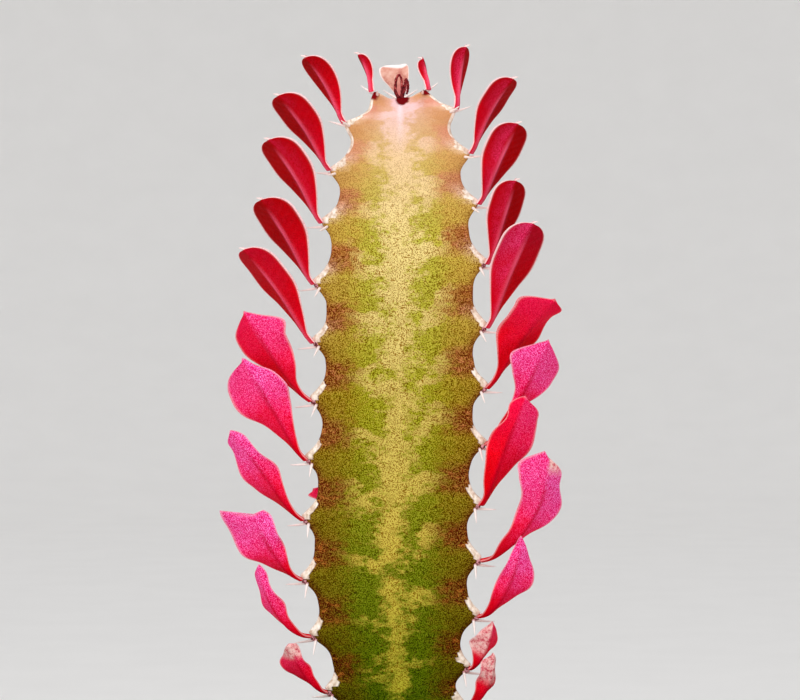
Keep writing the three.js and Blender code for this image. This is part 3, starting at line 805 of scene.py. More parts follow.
# %% Numbers of the leaves
# Length, width, rise of the stalk and of the tip, turn to the front, roll, fold, wave of the edge
LEAVES = {
    "left": [
        [11.4, 5, 98, 46, 0, 6, 16, 0],
        [21.8, 11.4, 74, 41, 0, 12, 10, 0],
        [26, 15.6, 66, 40, 0, 14, 8, 0.2],
        [28.2, 17, 67, 44, 0, 14, 8, 0.2],
        [28.4, 18, 65, 48, 0, 14, 8, 0.2],
        [33.6, 16.4, 61, 42, 0, 12, 10, 0.3],
        [31.8, 19, 47, 56, 0, 32, 8, 0.8],
        [34, 21, 58, 55, 0, 34, 8, 0.8],
        [33.2, 14, 57, 47, 0, 34, 18, 0.8],
        [23.5, 18, 50, 64, 0, 34, 10, 0.8],
        [27, 10, 32, 80, 0, 24, 28, 0.6],
        [18, 11, 44, 64, 0, 32, 30, 0.6],
    ],
    "right": [
        [9, 4.6, 116, 98, 0, 6, 20, 0],
        [17.6, 8.6, 95, 70, 0, 8, 12, 0],
        [24.5, 12.2, 73, 44, 0, 10, 10, 0.2],
        [25.2, 16.2, 68, 58, 0, 14, 4, 0.2],
        [24.8, 14.6, 73, 68, 0, 14, 4, 0.2],
        [32.3, 18, 71, 59, 0, 16, 3, 0.3],
        [31.8, 18.4, 58, 44, 0, 14, 8, 0.8],
        [34.2, 19, 53, 65, -8, 32, 12, 0.8],
        [33.4, 19, 67, 63, 8, 28, 8, 0.8],
        [36.6, 20, 25, 88, -10, 32, 10, 0.8],
        [29, 13, 29, 84, 16, 28, 12, 0.8],
        [15, 12, 51, 80, 0, 24, 32, 0.6],
        [19, 11, 30, 94, 0, 24, 28, 0.6],
    ],
    "rear": [
        [9, 8.5, 84, 78, 0, 0, 10, 0],
        [19, 11, 50, 22, 0, 0, 14, 0],
        [27, 15, 64, 40, 0, 0, 12, 0.2],
        [30, 17, 62, 38, 0, 0, 10, 0.2],
        [32, 18, 64, 40, 0, 0, 10, 0.3],
        [34, 19, 62, 38, 0, 0, 10, 0.5],
        [35, 19, 60, 38, 0, 0, 12, 1],
        [36, 20, 64, 44, 0, 0, 12, 1.3],
        [36, 20, 58, 44, 0, 0, 14, 1.6],
        [39, 18, 50, 42, -59, 0, 14, 1.6],
        [27, 15, 56, 60, 0, 0, 20, 1.2],
        [16, 10, 30, 54, 0, 0, 22, 1],
    ],
}
# The older leaves are uneven: half the width at each station after the first, on the side of the
# column and on the outer side, how far each side runs ahead of the tip, and the stalk's bend
UNEVEN_LEAVES = {
    "leaf_left_07": ([1.3, 1.5, 4.6, 6.1, 7.7, 9.5, 2.8, 0.4],
                     [1.4, 2.8, 4.2, 6.3, 8.8, 8.6, 3.4, 0.4], 0, 0, 1.6),
    "leaf_left_08": ([1.3, 2.1, 4, 5.8, 7.9, 6.4, 1.4, 0.4],
                     [1.4, 3.2, 5.9, 10.2, 11.9, 11, 5.4, 0.4], 0, 0, 1.6),
    "leaf_left_09": ([1.3, 1.5, 3, 4, 3.4, 2.6, 1.5, 0.4],
                     [1.6, 4.2, 7.6, 8.6, 7.8, 6, 3.6, 0.9], 0, 0, 4),
    "leaf_left_10": ([1.3, 1.5, 3, 3.6, 4.4, 4.7, 3.9, 2.9],
                     [1.4, 3.5, 6.3, 9.9, 11.4, 11.5, 11.1, 10.5], 1, 4.2, 4.5),
    "leaf_left_11": ([1.3, 1.7, 2.4, 3.2, 2.8, 2, 1.3, 0.5],
                     [1.6, 3, 5.2, 5.8, 4.8, 5, 2.8, 0.5], 0, 0, 4),
    "leaf_left_12": ([1.3, 1.5, 1.9, 2.2, 2.2, 2.2, 2, 1.8],
                     [1.6, 3.5, 6.6, 9.4, 10.6, 7, 3.4, 1.8], 0, 0, 2.6),
    "leaf_rear_01": ([1.4, 2, 2.4, 2.5, 2.6, 2.6, 2.3, 1.6],
                     [1.4, 2.4, 3.6, 5, 5.8, 6.1, 5.6, 4.4], 1.1, 0.3, 1.6),
    "leaf_right_07": ([1.4, 2, 6, 9.4, 11.2, 11.2, 8.2, 0.5],
                      [1.4, 2, 4.6, 6.2, 6.6, 7, 6.4, 1.6], 0, 0, 1.6),
    "leaf_right_08": ([1.3, 1.5, 1.5, 2.2, 6.8, 9.4, 3.4, 0.4],
                      [1.4, 1.8, 2.8, 6.3, 9.9, 10.6, 3.9, 0.4], 0, 0, 1.6),
    "leaf_right_09": ([1.3, 2.8, 4.1, 5, 5.2, 3, 2.8, 1],
                      [1.4, 3, 5.6, 8, 8.6, 7.8, 5, 1], 0, 0, 1.6),
    "leaf_right_10": ([1.6, 3.8, 4.4, 5.2, 7, 9.4, 7.4, 1],
                      [1.6, 1.5, 3.4, 7.4, 10, 7.2, 4.8, 0.9], 2.6, 0, 1.6),
    "leaf_right_11": ([1.6, 2.1, 3.4, 3.4, 3.4, 2.5, 1, 0.4],
                      [1.6, 1.8, 4.2, 6.8, 6.4, 4, 1.6, 0.4], 0, 0, 1.6),
    "leaf_right_12": ([1.3, 2, 3.6, 4.8, 4.6, 3.4, 1.2, 0.4],
                      [1.4, 2.8, 4.6, 5.8, 7, 5.6, 2, 0.4], 0, 0, 2),
    "leaf_right_13": ([1.3, 1.8, 2.8, 3.4, 3.7, 3.7, 2.5, 0.4],
                      [1.4, 1.5, 2.4, 3, 3, 2.2, 1, 0.4], 0, 0, 3),
}
LEAF_STATIONS = np.array([0, 0.07, 0.22, 0.38, 0.54, 0.68, 0.81, 0.94, 1])
print("leaves:", sum(len(table) for table in LEAVES.values()), "uneven ones:", len(UNEVEN_LEAVES))

# %% The outline of a leaf
STALK_HALF_WIDTH = 1.5
TIP_HALF_WIDTH = 0.35
THINNEST = 0.3
BLADE_START = -0.12
WIDEST_AT = 0.74
TIP_POWER = 2.5


def half_width(along, width):
    """Half the width along a leaf: a slim stalk, a spoon-shaped blade, a small point."""
    past = np.maximum(0, (along - WIDEST_AT) / (1 - WIDEST_AT))
    blade = width / 2 * smooth(along, BLADE_START, WIDEST_AT)
    blade = blade * np.sqrt(np.maximum(0, 1 - past ** TIP_POWER))
    return np.maximum(mix(STALK_HALF_WIDTH, TIP_HALF_WIDTH, along), blade)


def leaf_outline(along, part, width, uneven):
    """Half the width on each side of the midrib, and how far that side runs ahead of the tip."""
    if not uneven:
        half = half_width(along, width)[:, None]
        return half, 0 * half
    near_widths, outer_widths, near_lead, outer_lead, _ = uneven
    stalk = [STALK_HALF_WIDTH]
    sides = np.array([stalk + near_widths, stalk + outer_widths], float).T
    sides = np.maximum(THINNEST, through(LEAF_STATIONS, sides, along))
    half = np.where(part > 0, sides[:, :1], sides[:, 1:])
    lead = np.where(part > 0, near_lead, outer_lead) * part ** 2 * smooth(along, 0.6, 1)[:, None]
    return half, lead


# %% The line of a leaf
LEAF_SEAT = [0.84, 0.15]
LEAF_SETDOWN = 1.3
STALK_ELBOW = 30
ELBOW_LENGTH = 1.6


def leaf_line(rib, row, numbers, along, elbow_length):
    """Points on the midrib, and the directions ahead and across the leaf, at the places along."""
    length, _, stalk_rise, tip_rise, turn_front = numbers[:5]
    tip, out, flank = tooth_tip(rib, row)
    front = flank * (-1 if flank[1] > 0 else 1)
    turn = math.radians(turn_front)
    ahead = out * math.cos(turn) + front * math.sin(turn)
    across = front * math.cos(turn) - out * math.sin(turn)
    age = min(1, row / YOUNG_ROWS)
    place = tip + out * mix(*LEAF_SEAT, age) - UP * LEAF_SETDOWN * age
    before = np.concatenate([[0], LEAF_STATIONS[:-1]])
    points = []
    for station, previous in zip(LEAF_STATIONS, before):
        middle = (station + previous) / 2
        elbow = STALK_ELBOW * math.exp(-middle * length / elbow_length)
        rise = math.radians(mix(stalk_rise, tip_rise, middle) - elbow)
        heading = ahead * math.cos(rise) + UP * math.sin(rise)
        place = place + heading * (station - previous) * length
        points.append(place)
    line = through(LEAF_STATIONS, np.array(points), along)
    heading = unit(np.gradient(line, along, axis=0))
    forward = (heading @ ahead)[:, None]
    upward = (heading @ UP)[:, None]
    inward = UP * forward - ahead * upward
    return line, heading, across, inward


# %% The blade of a leaf
LEAF_THICKNESS = 0.9
EDGE_ROUNDNESS = 0.45
WAVE_TURN = 860
WAVE_OFFSET = 140
FOLD_SOFTNESS = 0.1
MIDRIB_HALF_WIDTH = [0.9, 0.35]
MIDRIB_HEIGHT = 0.1
KEEL_DEPTH = [0.5, 0.05]
VEINS = 11
VEIN_LEAN = 1.7
VEIN_BREADTH = 0.16
VEIN_HEIGHT = 0.003


def blade_lift(along, part, half, folded, wave):
    """How far the blade leaves its plane: both sides fold up, and the edges are waved."""
    waving = wave * smooth(along, 0.2, 0.5)
    phase = np.radians(WAVE_TURN * along + np.where(part > 0, 0, WAVE_OFFSET))
    soft_part = np.sqrt(part ** 2 + FOLD_SOFTNESS ** 2) - FOLD_SOFTNESS
    return soft_part * half * np.sin(folded) + waving * part ** 2 * np.sin(phase)


def blade_surface(along, part, side, half):
    """How far the skin lies above or below the blade's middle, and where midrib and veins are."""
    blade = smooth(along, 0.08, 0.3)
    body = mix(0.95, 0.5, np.abs(part) ** 1.5) * mix(1.35, 1.0, blade)
    thickness = LEAF_THICKNESS / 2 * body * np.sign(side) * np.abs(side) ** EDGE_ROUNDNESS
    midrib = np.exp(-((part * half / mix(*MIDRIB_HALF_WIDTH, along)) ** 2))
    keel = midrib * mix(*KEEL_DEPTH, along) * blade
    veins = along * VEINS - np.abs(part) * VEIN_LEAN
    vein = np.exp(-(((veins % 1) - 0.5) / VEIN_BREADTH) ** 2) * blade
    vein = vein * smooth(np.abs(part), 0.95, 0.6)
    relief = np.where(side > 0, midrib * MIDRIB_HEIGHT + vein * VEIN_HEIGHT, -keel - vein * VEIN_HEIGHT)
    return thickness + relief, midrib, vein


# %% One leaf
LEAF_ROWS = 84
LEAF_AROUND = 44
LEAF_END = 0.9


def leaf_part(rib, row, numbers, uneven):
    _, width, _, _, _, roll, fold, wave = numbers
    along = np.linspace(0, 1, LEAF_ROWS) ** 0.92
    elbow_length = uneven[4] if uneven else ELBOW_LENGTH
    line, heading, across, inward = leaf_line(rib, row, numbers, along, elbow_length)
    twist = (math.radians(roll) * smooth(along, 0, 0.4))[:, None]
    wide = across * np.cos(twist) + inward * np.sin(twist)
    thick = inward * np.cos(twist) - across * np.sin(twist)
    lean = np.linspace(0, 2 * math.pi, LEAF_AROUND, endpoint=False)
    part = np.sin(lean)[None, :]
    side = np.cos(lean)[None, :]
    half, lead = leaf_outline(along, part, width, uneven)
    along = along[:, None]
    folded = math.radians(fold) * smooth(along, 0, 0.3)
    surface, midrib, vein = blade_surface(along, part, side, half)
    lift = blade_lift(along, part, half, folded, wave) + surface
    place = line[:, None] + wide[:, None] * (part * half * np.cos(folded))[..., None]
    place = place + thick[:, None] * lift[..., None] + heading[:, None] * lead[..., None]
    corners, faces = loft(place, None, line[-1] + heading[-1] * LEAF_END)
    marks = {
        "along": ends_too(along + 0 * part, 0, 1),
        "rim": ends_too(smooth(np.abs(part), 0.9, 0.965) + 0 * half, 0, 1),
        "near_side": ends_too(part + 0 * half, 0, 0),
        "midrib": ends_too(midrib + 0 * half, 0, 0),
        "vein": ends_too(vein, 0, 0),
    }
    return corners, faces, 0, marks


# %% The point of a young leaf
HOOKED_ROWS = 6
HOOK_LENGTH = 1.9
HOOK_RISE = math.radians(8)
HOOK_RADII = [0.34, 0.12]
HOOK_STEPS = 8
HOOK_INSET = 0.5


def hook_part(rib, row, numbers):
    """The thin pale point of a young leaf, bent outward until it is nearly level."""
    line, heading, across, _ = leaf_line(rib, row, numbers, np.linspace(0, 1, 21), ELBOW_LENGTH)
    outward = unit(np.cross(across, UP))
    outward = outward * np.sign(outward @ heading[-1])
    share = np.linspace(0, 1, HOOK_STEPS + 1)[:, None]
    level = outward * math.cos(HOOK_RISE) + UP * math.sin(HOOK_RISE)
    aim = unit(heading[-1] * (1 - share) ** 3 + level * share)
    hook = line[-1] - heading[-1] * HOOK_INSET + np.cumsum(aim * HOOK_LENGTH / HOOK_STEPS, axis=0)
    corners, faces = loft(tube(hook, mix(*HOOK_RADII, share[:, 0])))
    return corners, faces, 0, {"hook": np.ones(len(corners))}


# %% [markdown]
# ## The leaves' finish
#
# The young leaves are crimson with a thin pale edge, a pink midrib and a pink haze, partly painted
# sheen, on the side of the column, and the outer half of each is painted darker as the shade of its
# fold. From the middle of the plant down they are brighter, with a powdery pink bloom that is partly
# the wax's own colour and partly a painted sheen, a fine grain and a red crease for a midrib, and
# parts of the oldest are dry and pale. One recipe does them all: each leaf carries as numbers how
# bright, how powdery and how dry each point of it is.

# %% Red of the leaves
class LeafRecipe(Recipe):
    """The recipe of the red leaves, with the readings and the noises that its layers share."""

    def __init__(self):
        super().__init__("leaf_skin", 0.5, Specular_IOR_Level=0.01)
        self.along = self.read("along")
        self.side = self.read("near_side")
        self.glow = self.read("glow")
        self.bloom = self.read("bloom")
        self.cloud = self.noise(6, 3, 0.6)
        self.grain = self.noise(0.27, 1, 0.5)
        self.near = self.step(self.side, -0.12, 0.12)
        self.shade = self.sway(self.cloud, 0.5, self.along)


def haze_and_sheen(leaf, colour):
    # A pink haze beside the column: partly the waxy bloom's colour, partly painted sheen.
    sheen_haze = leaf.times(leaf.step(leaf.side, 0.0, 0.2), leaf.step(leaf.side, 1.0, 0.1))
    sheen_haze = leaf.times(sheen_haze, leaf.step(leaf.grain, 0.6, 0.42, 0.1, 0.75))
    sheen_haze = leaf.times(sheen_haze, leaf.step(leaf.cloud, 0.35, 0.6, 0.4, 1.0))
    return leaf.blend(leaf.times(sheen_haze, leaf.bloom), colour, (250, 58, 116))


def reds(leaf):
    """Crimson with its haze on the young leaves, and a brighter red on the older ones, each with its
    outer half painted darker as the shade of the fold.
    """
    # In both pairs of ramps the outer one is darker: painted shade on the outer half of the folded
    # leaf.
    inner = leaf.ramp(leaf.shade, (0.1, (232, 4, 36)), (0.5, (204, 2, 16)), (0.95, (168, 0, 2)))
    outer = leaf.ramp(leaf.shade, (0.1, (214, 0, 22)), (0.45, (178, 0, 6)), (0.95, (154, 0, 2)))
    crimson = haze_and_sheen(leaf, leaf.blend(leaf.near, outer, inner))
    inner = leaf.ramp(leaf.shade, (0.1, (224, 0, 16)), (0.5, (246, 0, 14)), (1.0, (244, 2, 60)))
    outer = leaf.ramp(leaf.shade, (0.1, (214, 0, 16)), (0.5, (240, 0, 26)), (1.0, (240, 4, 64)))
    return leaf.blend(leaf.glow, crimson, leaf.blend(leaf.near, outer, inner))


def powder_and_sheen(leaf, colour):
    # Pink powder with chalky flecks: partly the waxy bloom's colour, partly painted sheen of light on
    # it.
    deep = leaf.ramp(leaf.grain, (0.38, (250, 80, 146)), (0.5, (244, 20, 94)), (0.63, (222, 0, 52)))
    chalk_sheen = leaf.ramp(leaf.grain, (0.36, (252, 148, 222)), (0.46, (244, 76, 168)),
                      (0.54, (240, 32, 128)), (0.64, (212, 4, 88)))
    powder_sheen = leaf.blend(leaf.step(leaf.shade, 0.36, 0.9), deep, chalk_sheen)
    share = leaf.times(leaf.bloom, leaf.step(leaf.shade, 0.12, 0.62))
    return leaf.blend(leaf.times(share, leaf.glow), colour, powder_sheen)


# %% Midrib, dry parts, edge and grain
def veined(leaf, colour):
    middle = leaf.times(leaf.read("midrib"), leaf.step(leaf.along, 0.95, 0.6, 0.0, 0.85))
    line = leaf.times(middle, leaf.step(leaf.glow, 0.0, 1.0, 1.0, 0.0))
    colour = leaf.blend(line, colour, (252, 104, 140))
    crease = leaf.times(leaf.times(middle, leaf.glow), 0.85)
    colour = leaf.blend(crease, colour, (188, 0, 34))
    return leaf.blend(leaf.times(leaf.read("vein"), 0.015), colour, (255, 120, 150))


def dried(leaf, colour):
    dry = leaf.ramp(leaf.noise(1.2, 4, 0.7), (0.38, (206, 70, 90)), (0.48, (236, 160, 160)),
                    (0.6, (246, 206, 200)))
    return leaf.blend(leaf.read("pale"), colour, dry)


def pale_edged(leaf, colour):
    rim = leaf.times(leaf.read("rim"), leaf.step(leaf.glow, 0.0, 1.0, 0.95, 0.35))
    return leaf.blend(rim, colour, (252, 214, 216))


def speckled(leaf, colour):
    dark = leaf.times(leaf.step(leaf.grain, 0.52, 0.64), leaf.step(leaf.bloom, 0.0, 0.6, 0.4, 0.15))
    return leaf.blend(dark, colour, (140, 0, 20), "MULTIPLY")


def leaf_finish():
    leaf = LeafRecipe()
    colour = reds(leaf)
    for layer in (powder_and_sheen, veined, dried, pale_edged, speckled):
        colour = layer(leaf, colour)
    colour = leaf.blend(leaf.read("hook"), colour, (250, 226, 222))
    normal = leaf.bump(leaf.grain, 0.03, leaf.bump(leaf.noise(2.4, 2), 0.12))
    return leaf.finish(colour, normal)


def pale_finish():
    """The skin of the youngest leaf behind the tip, which is still pink and cream."""
    leaf = Recipe("young_leaf_skin", 0.45, Specular_IOR_Level=0.1)
    cloud = leaf.noise(2.4, 4, 0.65)
    colour = leaf.ramp(cloud, (0.36, (196, 128, 112)), (0.5, (222, 162, 144)), (0.66, (236, 194, 176)))
    along = leaf.read("along")
    shade = leaf.maths("MULTIPLY_ADD", leaf.read("near_side"), -0.25, along)
    colour = leaf.blend(leaf.step(shade, 0.6, 0.1), colour, (188, 98, 100))
    colour = leaf.blend(leaf.times(leaf.read("midrib"), 0.4), colour, (206, 116, 108))
    edge = leaf.maths("MAXIMUM", leaf.read("rim"), leaf.step(along, 0.93, 0.985))
    colour = leaf.blend(edge, colour, (255, 244, 240))
    return leaf.finish(colour, leaf.bump(leaf.noise(0.6, 3), 0.08))


# %% Tones of each leaf
# How strong the pink haze or powder is (partly waxy bloom, partly painted sheen), from the top down,
# beside the column and on the outer side
BLOOM_AND_SHEEN = {
    "left": [
        [0.5, 0.2], [0.1, 0], [0.2, 0], [0.3, 0], [0.1, 0], [0.1, 0], [0.65, 0.1], [0.95, 0.6],
        [0.9, 0.85], [0.95, 0.85], [0.8, 0.8], [0.3, 0.2],
    ],
    "right": [
        [0.3, 0.2], [1, 0.8], [0.5, 0], [0.9, 0.1], [0.9, 0.2], [1, 0.1], [0.1, 0], [0.8, 0.7],
        [0.05, 0.3], [0.7, 0.95], [0.75, 0.85], [0.5, 0.1], [0.1, 0.1],
    ],
    "rear": [
        [0, 0], [0.2, 0], [0.2, 0], [0.3, 0.1], [0.3, 0.1], [0.4, 0.1], [0.3, 0.3], [0.7, 0.5],
        [0.8, 0.6], [0.15, 0.1], [0.7, 0.7], [0.5, 0.4],
    ],
}
# The pale, dry part of the oldest leaves: where it starts and ends along the leaf, and its side,
# 1 towards the column, -1 outside and 0 for both
DRY_PARTS = {
    "leaf_left_12": (0.72, 0.86, 0),
    "leaf_right_10": (0.86, 0.97, -1),
    "leaf_right_12": (0.3, 0.5, 1),
    "leaf_right_13": (0.5, 0.72, 0),
}


def leaf_tones(node, rib, row, marks):
    """Adds how glowing, how powdery (partly painted sheen) and how dry each point of a leaf is."""
    side = marks["near_side"]
    inner, outer = BLOOM_AND_SHEEN[rib][row]
    marks["glow"] = np.full(len(side), smooth(row, 4.5, 6.5))
    marks["bloom"] = mix(outer, inner, smooth(side, -0.12, 0.12))
    if node in DRY_PARTS:
        start, end, way = DRY_PARTS[node]
        dry = smooth(marks["along"], start, end)
        marks["pale"] = dry * (smooth(side * way, -0.1, 0.15) if way else 1)


# %% All leaves
red_skin = leaf_finish()
pale_skin = pale_finish()
for rib, table in LEAVES.items():
    for row, numbers in enumerate(table):
        node = f"leaf_{rib}_{row + 1:02d}"
        young = node == "leaf_rear_01"
        part = leaf_part(rib, row, numbers, UNEVEN_LEAVES.get(node))
        leaf_tones(node, rib, row, part[3])
        parts = [part]
        if row < HOOKED_ROWS and not young:
            parts.append(hook_part(rib, row, numbers))
        leaf = make_piece(node + "_grown", parts, [pale_skin if young else red_skin])
        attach(leaf, "root")
        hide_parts(node)
print("last leaf:", node, len(leaf.data.polygons), "faces")

# %% [markdown]
# ## The clay pot
#
# A plain clay pot is thrown or pressed: a tapered wall, a thicker collar, a rounded rim and a drain
# hole. One profile turned round the axis gives it, and a little unevenness keeps it from looking
# machined.

# %% Pot
# Radius and height of the profile, from the drain hole out, up the wall and back down inside
POT_PROFILE = [
    [7, 0.6], [7.6, 0], [20, 0], [41.5, 0], [43.4, 0.6], [44.3, 2], [47, 14], [50.8, 36],
    [54.5, 58], [57.6, 76], [58.3, 79.2], [58.9, 80], [61.8, 80], [63, 80.7], [63.2, 82],
    [63.6, 92], [63.95, 100.8], [63.7, 102.6], [62.6, 103.8], [61.2, 104], [58.6, 104],
    [57.4, 103.4], [56.9, 102], [55.4, 92], [53.2, 80.5], [52, 76], [46, 40], [39.4, 9.5],
    [38, 8.2], [36, 8], [8, 8], [7.2, 7.8], [7, 7],
]
POT_HEIGHT = 104
POT_AROUND = 160
POT_STEP = 3
POT_SWELL = 0.12
THROWING_RINGS = 0.03


def turned(profile, around):
    angle = np.linspace(0, 2 * math.pi, around, endpoint=False)
    radius = np.array(profile)[:, 0][:, None]
    height = np.array(profile)[:, 1][:, None]
    return np.stack([radius * np.cos(angle), radius * np.sin(angle), height + 0 * angle], axis=-1)


def fine_profile(profile, longest):
    """The same profile with no step longer than longest."""
    points = [profile[0]]
    for start, end in zip(profile, profile[1:]):
        steps = max(1, math.ceil(math.dist(start, end) / longest))
        for step in range(1, steps + 1):
            points.append([mix(start[0], end[0], step / steps), mix(start[1], end[1], step / steps)])
    return points


def pot_part():
    profile = fine_profile(POT_PROFILE + [POT_PROFILE[0]], POT_STEP)[:-1]
    rings = turned(profile, POT_AROUND)
    height = rings[..., 2]
    inside = smooth(height, 0, 4) * smooth(height, POT_HEIGHT, POT_HEIGHT - 4)
    uneven = (swell(rings, 40, 21) - 1) * POT_SWELL + np.sin(height * 2.2) * THROWING_RINGS
    rings = rings + unit(rings * [1, 1, 0]) * (uneven * inside)[..., None]
    index = numbered(rings)
    return rings.reshape(-1, 3), quads(index, np.roll(index, -1, axis=0)), 0, {}


def clay_finish():
    clay = Recipe("clay", 0.88, Specular_IOR_Level=0.25)
    cloud = clay.noise(28, 4, 0.6)
    fine = clay.noise(0.9, 4, 0.7)
    colour = clay.ramp(cloud, (0.25, (158, 84, 56)), (0.5, (182, 102, 70)), (0.75, (202, 126, 92)))
    lime = clay.step(clay.noise(11, 4, 0.6), 0.48, 0.8, 0.0, 0.45)
    colour = clay.blend(lime, colour, (222, 196, 176))
    colour = clay.blend(clay.step(fine, 0.58, 0.74, 0.0, 0.6), colour, (120, 62, 42))
    normal = clay.bump(fine, 0.14, clay.bump(clay.noise(7, 3), 0.35))
    return clay.finish(colour, normal)


pot = make_piece("pot_thrown", [pot_part()], [clay_finish()])
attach(pot, "root")
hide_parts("pot")
print("pot:", len(pot.data.polygons), "faces")

# %% [markdown]
# ## The soil
#
# Potting mix is dark and crumbly, with grit and bits of bark. Its surface is a finely divided disc
# with a few sizes of unevenness, and loose grains lie on it, half sunk. Each grain is a little
# closed stone of its own, with its place and turn drawn from a seeded rule.

# %% Soil
SOIL_AROUND = 200
SOIL_FLOOR = 8.3
SOIL_RADIUS = 54.3
SOIL_HEIGHTS = [92, 89.5]
HOLE_RADIUS = 12.8
HOLE_FLOOR = 64.4
# For each size of crumb, its breadth, its seed and its height
CRUMBS = [(11, 31, 0.5), (3.6, 32, 0.42), (1.5, 33, 0.24)]


def soil_height(radius):
    """The surface sinks a little from the stem to the pot."""
    share = (radius - HOLE_RADIUS) / (SOIL_RADIUS - HOLE_RADIUS)
    return mix(*SOIL_HEIGHTS, share ** 1.6)


def soil_part():
    profile = [[HOLE_RADIUS, HOLE_FLOOR], [HOLE_RADIUS, 84], [HOLE_RADIUS, 91.4], [13.4, 91.9]]
    profile += [[radius, soil_height(radius)] for radius in np.linspace(14.4, 53.6, 44)]
    profile += [[54.2, 89.3], [SOIL_RADIUS, 88.6], [52.7, 80], [46, 40], [39.6, 12], [39, 9]]
    profile += [[37, SOIL_FLOOR]]
    rings = turned(profile, SOIL_AROUND)
    flat = rings * [1, 1, 0]
    crumbs = sum(swell(flat, size, seed) * height for size, seed, height in CRUMBS)
    radius = np.hypot(rings[..., 0], rings[..., 1])
    open_top = smooth(radius, 13.2, 17) * smooth(radius, 54.2, 52) * smooth(rings[..., 2], 86, 88)
    rings[..., 2] += crumbs * open_top
    corners, faces = loft(rings, np.array([0, 0, HOLE_FLOOR]), np.array([0, 0, SOIL_FLOOR]))
    return corners, faces, 0, {}


# %% Grit
GRAINS = 620
GRIT_RADII = [15.5, 52]
SMALLEST_STRETCH = [0.7, 0.55, 0.4]
LARGEST_STRETCH = [1.25, 1.0, 0.8]


def grain_part(place, size, seed):
    random = np.random.default_rng(seed)
    lean = np.linspace(0, math.pi, 7)[1:-1, None]
    turn = np.linspace(0, 2 * math.pi, 8, endpoint=False)
    ring = [np.sin(lean) * np.cos(turn), np.sin(lean) * np.sin(turn), np.cos(lean) + 0 * turn]
    ring = np.stack(ring, axis=-1)
    stretch = random.uniform(SMALLEST_STRETCH, LARGEST_STRETCH)
    lumpy = 1 + swell(ring, 1.6, seed, 5)[..., None] * 0.22
    ring = ring * lumpy * stretch * size
    axis = unit(random.normal(size=3))
    angle = random.uniform(0, math.pi)
    rotated = ring * math.cos(angle) + np.cross(axis, ring) * math.sin(angle)
    rotated = rotated + axis * (ring @ axis)[..., None] * (1 - math.cos(angle))
    corners, faces = loft(rotated + place)
    tone = random.uniform(0, 1)
    return corners, faces, 0, {"tone": np.full(len(corners), tone)}


def grit_parts(count):
    random = np.random.default_rng(41)
    nearest, farthest = GRIT_RADII
    parts = []
    while len(parts) < count:
        radius = math.sqrt(random.uniform(nearest ** 2, farthest ** 2))
        turn = random.uniform(0, 2 * math.pi)
        size = random.uniform(0.5, 1.0) + 1.1 * random.uniform(0, 1) ** 6
        height = soil_height(radius) + 0.15 * size
        place = np.array([radius * math.cos(turn), radius * math.sin(turn), height])
        parts.append(grain_part(place, size, 500 + len(parts)))
    return parts


# %% Finish of the soil and the grit
def soil_finish():
    soil = Recipe("potting_mix", 0.95, Specular_IOR_Level=0.15)
    crumb = soil.noise(1.6, 4, 0.7)
    colour = soil.ramp(crumb, (0.3, (28, 18, 12)), (0.55, (66, 46, 32)), (0.8, (104, 78, 56)))
    return soil.finish(colour, soil.bump(crumb, 0.6))


def grit_finish():
    grit = Recipe("grit", 0.85, Specular_IOR_Level=0.25)
    colour = grit.ramp(grit.read("tone"), (0.0, (44, 30, 20)), (0.45, (88, 64, 46)),
                       (0.7, (132, 112, 90)), (1.0, (206, 196, 180)))
    speckle = grit.noise(0.7, 3, 0.7)
    colour = grit.blend(grit.step(speckle, 0.5, 0.7, 0.0, 0.5), colour, (40, 30, 24))
    return grit.finish(colour, grit.bump(speckle, 0.2))


soil = make_piece("soil_mix", [soil_part()], [soil_finish()])
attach(soil, "root")
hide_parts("soil")
grit = make_piece("soil_grit", grit_parts(GRAINS), [grit_finish()])
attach(grit, "root")
print("soil:", len(soil.data.polygons), "faces, grit:", len(grit.data.polygons), "faces")

# %% [markdown]
# ## Floor, light and camera
#
# The plant stands on a plain pale floor that curves up into a far wall all round, so that no line
# shows behind it from any side. The light is a large soft lamp in front, a weaker one above and a
# pale sky. The camera is level with the middle of the column and far off, as in the photograph,
# so that the ribs look nearly parallel.

# %% Floor
FLOOR_RADIUS = 2600
CURVE_RADIUS = 1400
WALL_TOP = 3200


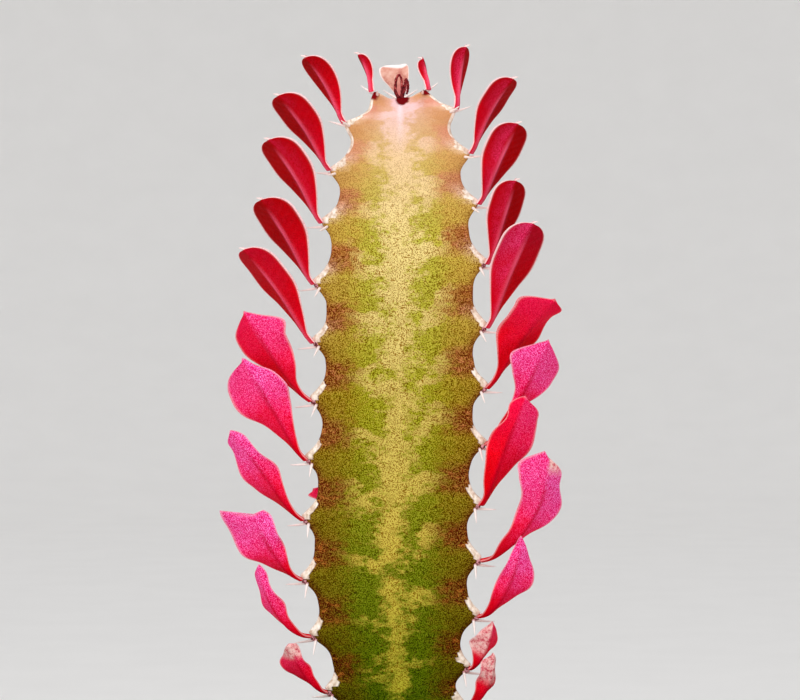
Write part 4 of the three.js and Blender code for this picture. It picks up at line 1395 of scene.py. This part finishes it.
def stage_part():
    profile = [[0.001, 0], [300, 0], [1500, 0], [FLOOR_RADIUS, 0]]
    for lean in np.linspace(5, 90, 18):
        angle = math.radians(lean)
        out = FLOOR_RADIUS + CURVE_RADIUS * math.sin(angle)
        profile.append([out, CURVE_RADIUS * (1 - math.cos(angle))])
    profile.append([FLOOR_RADIUS + CURVE_RADIUS, WALL_TOP])
    rings = turned(profile, 96)
    index = numbered(rings)
    return rings.reshape(-1, 3), quads(index[:-1], index[1:]), 0, {}


paper = Recipe("backdrop_paper", 0.95, Specular_IOR_Level=0.1)
paper_tone = paper.blend(paper.noise(60, 2), (238, 236, 233), (243, 241, 238))
floor = make_piece("floor", [stage_part()], [paper.finish(paper_tone)])
print("floor:", 2 * (FLOOR_RADIUS + CURVE_RADIUS) * MM, "m wide")

# %% Lights and sky
def lamp(name, place, aim, size, power, tone):
    data = bpy.data.lights.new(name, "AREA")
    data.size = size
    data.energy = power
    data.color = tone
    made = bpy.data.objects.new(name, data)
    made.location = place
    made.rotation_euler = (Vector(aim) - Vector(place)).to_track_quat("-Z", "Y").to_euler()
    made.visible_camera = False
    bpy.context.scene.collection.objects.link(made)


lamp("key_lamp", (-0.2, -0.75, 0.55), (0, 0, 0.2), 0.4, 3.3, (1.0, 0.98, 0.95))
lamp("top_lamp", (0.05, -0.1, 0.95), (0, 0, 0.22), 0.35, 1.3, (1.0, 1.0, 1.0))

sky = bpy.data.worlds.new("pale_sky")
sky.use_nodes = True
background = sky.node_tree.nodes["Background"]
background.inputs["Color"].default_value = light_of(240, 242, 246)
background.inputs["Strength"].default_value = 1.0
bpy.context.scene.world = sky
bpy.context.scene.view_settings.view_transform = "Standard"
print("lamps:", len(bpy.data.lights))

# %% Camera
VIEW_DISTANCE = 0.8
VIEW_HEIGHT = 0.214
FRAME_WIDTH = 0.22857
SENSOR = 36

camera_data = bpy.data.cameras.new("camera")
camera_data.sensor_width = SENSOR
camera_data.lens = SENSOR * VIEW_DISTANCE / FRAME_WIDTH
camera = bpy.data.objects.new("camera", camera_data)
camera.location = (0, -VIEW_DISTANCE, VIEW_HEIGHT)
camera.rotation_euler = (math.radians(90), 0, 0)
bpy.context.scene.collection.objects.link(camera)
bpy.context.scene.camera = camera
print("camera lens:", round(camera_data.lens, 1), "mm")
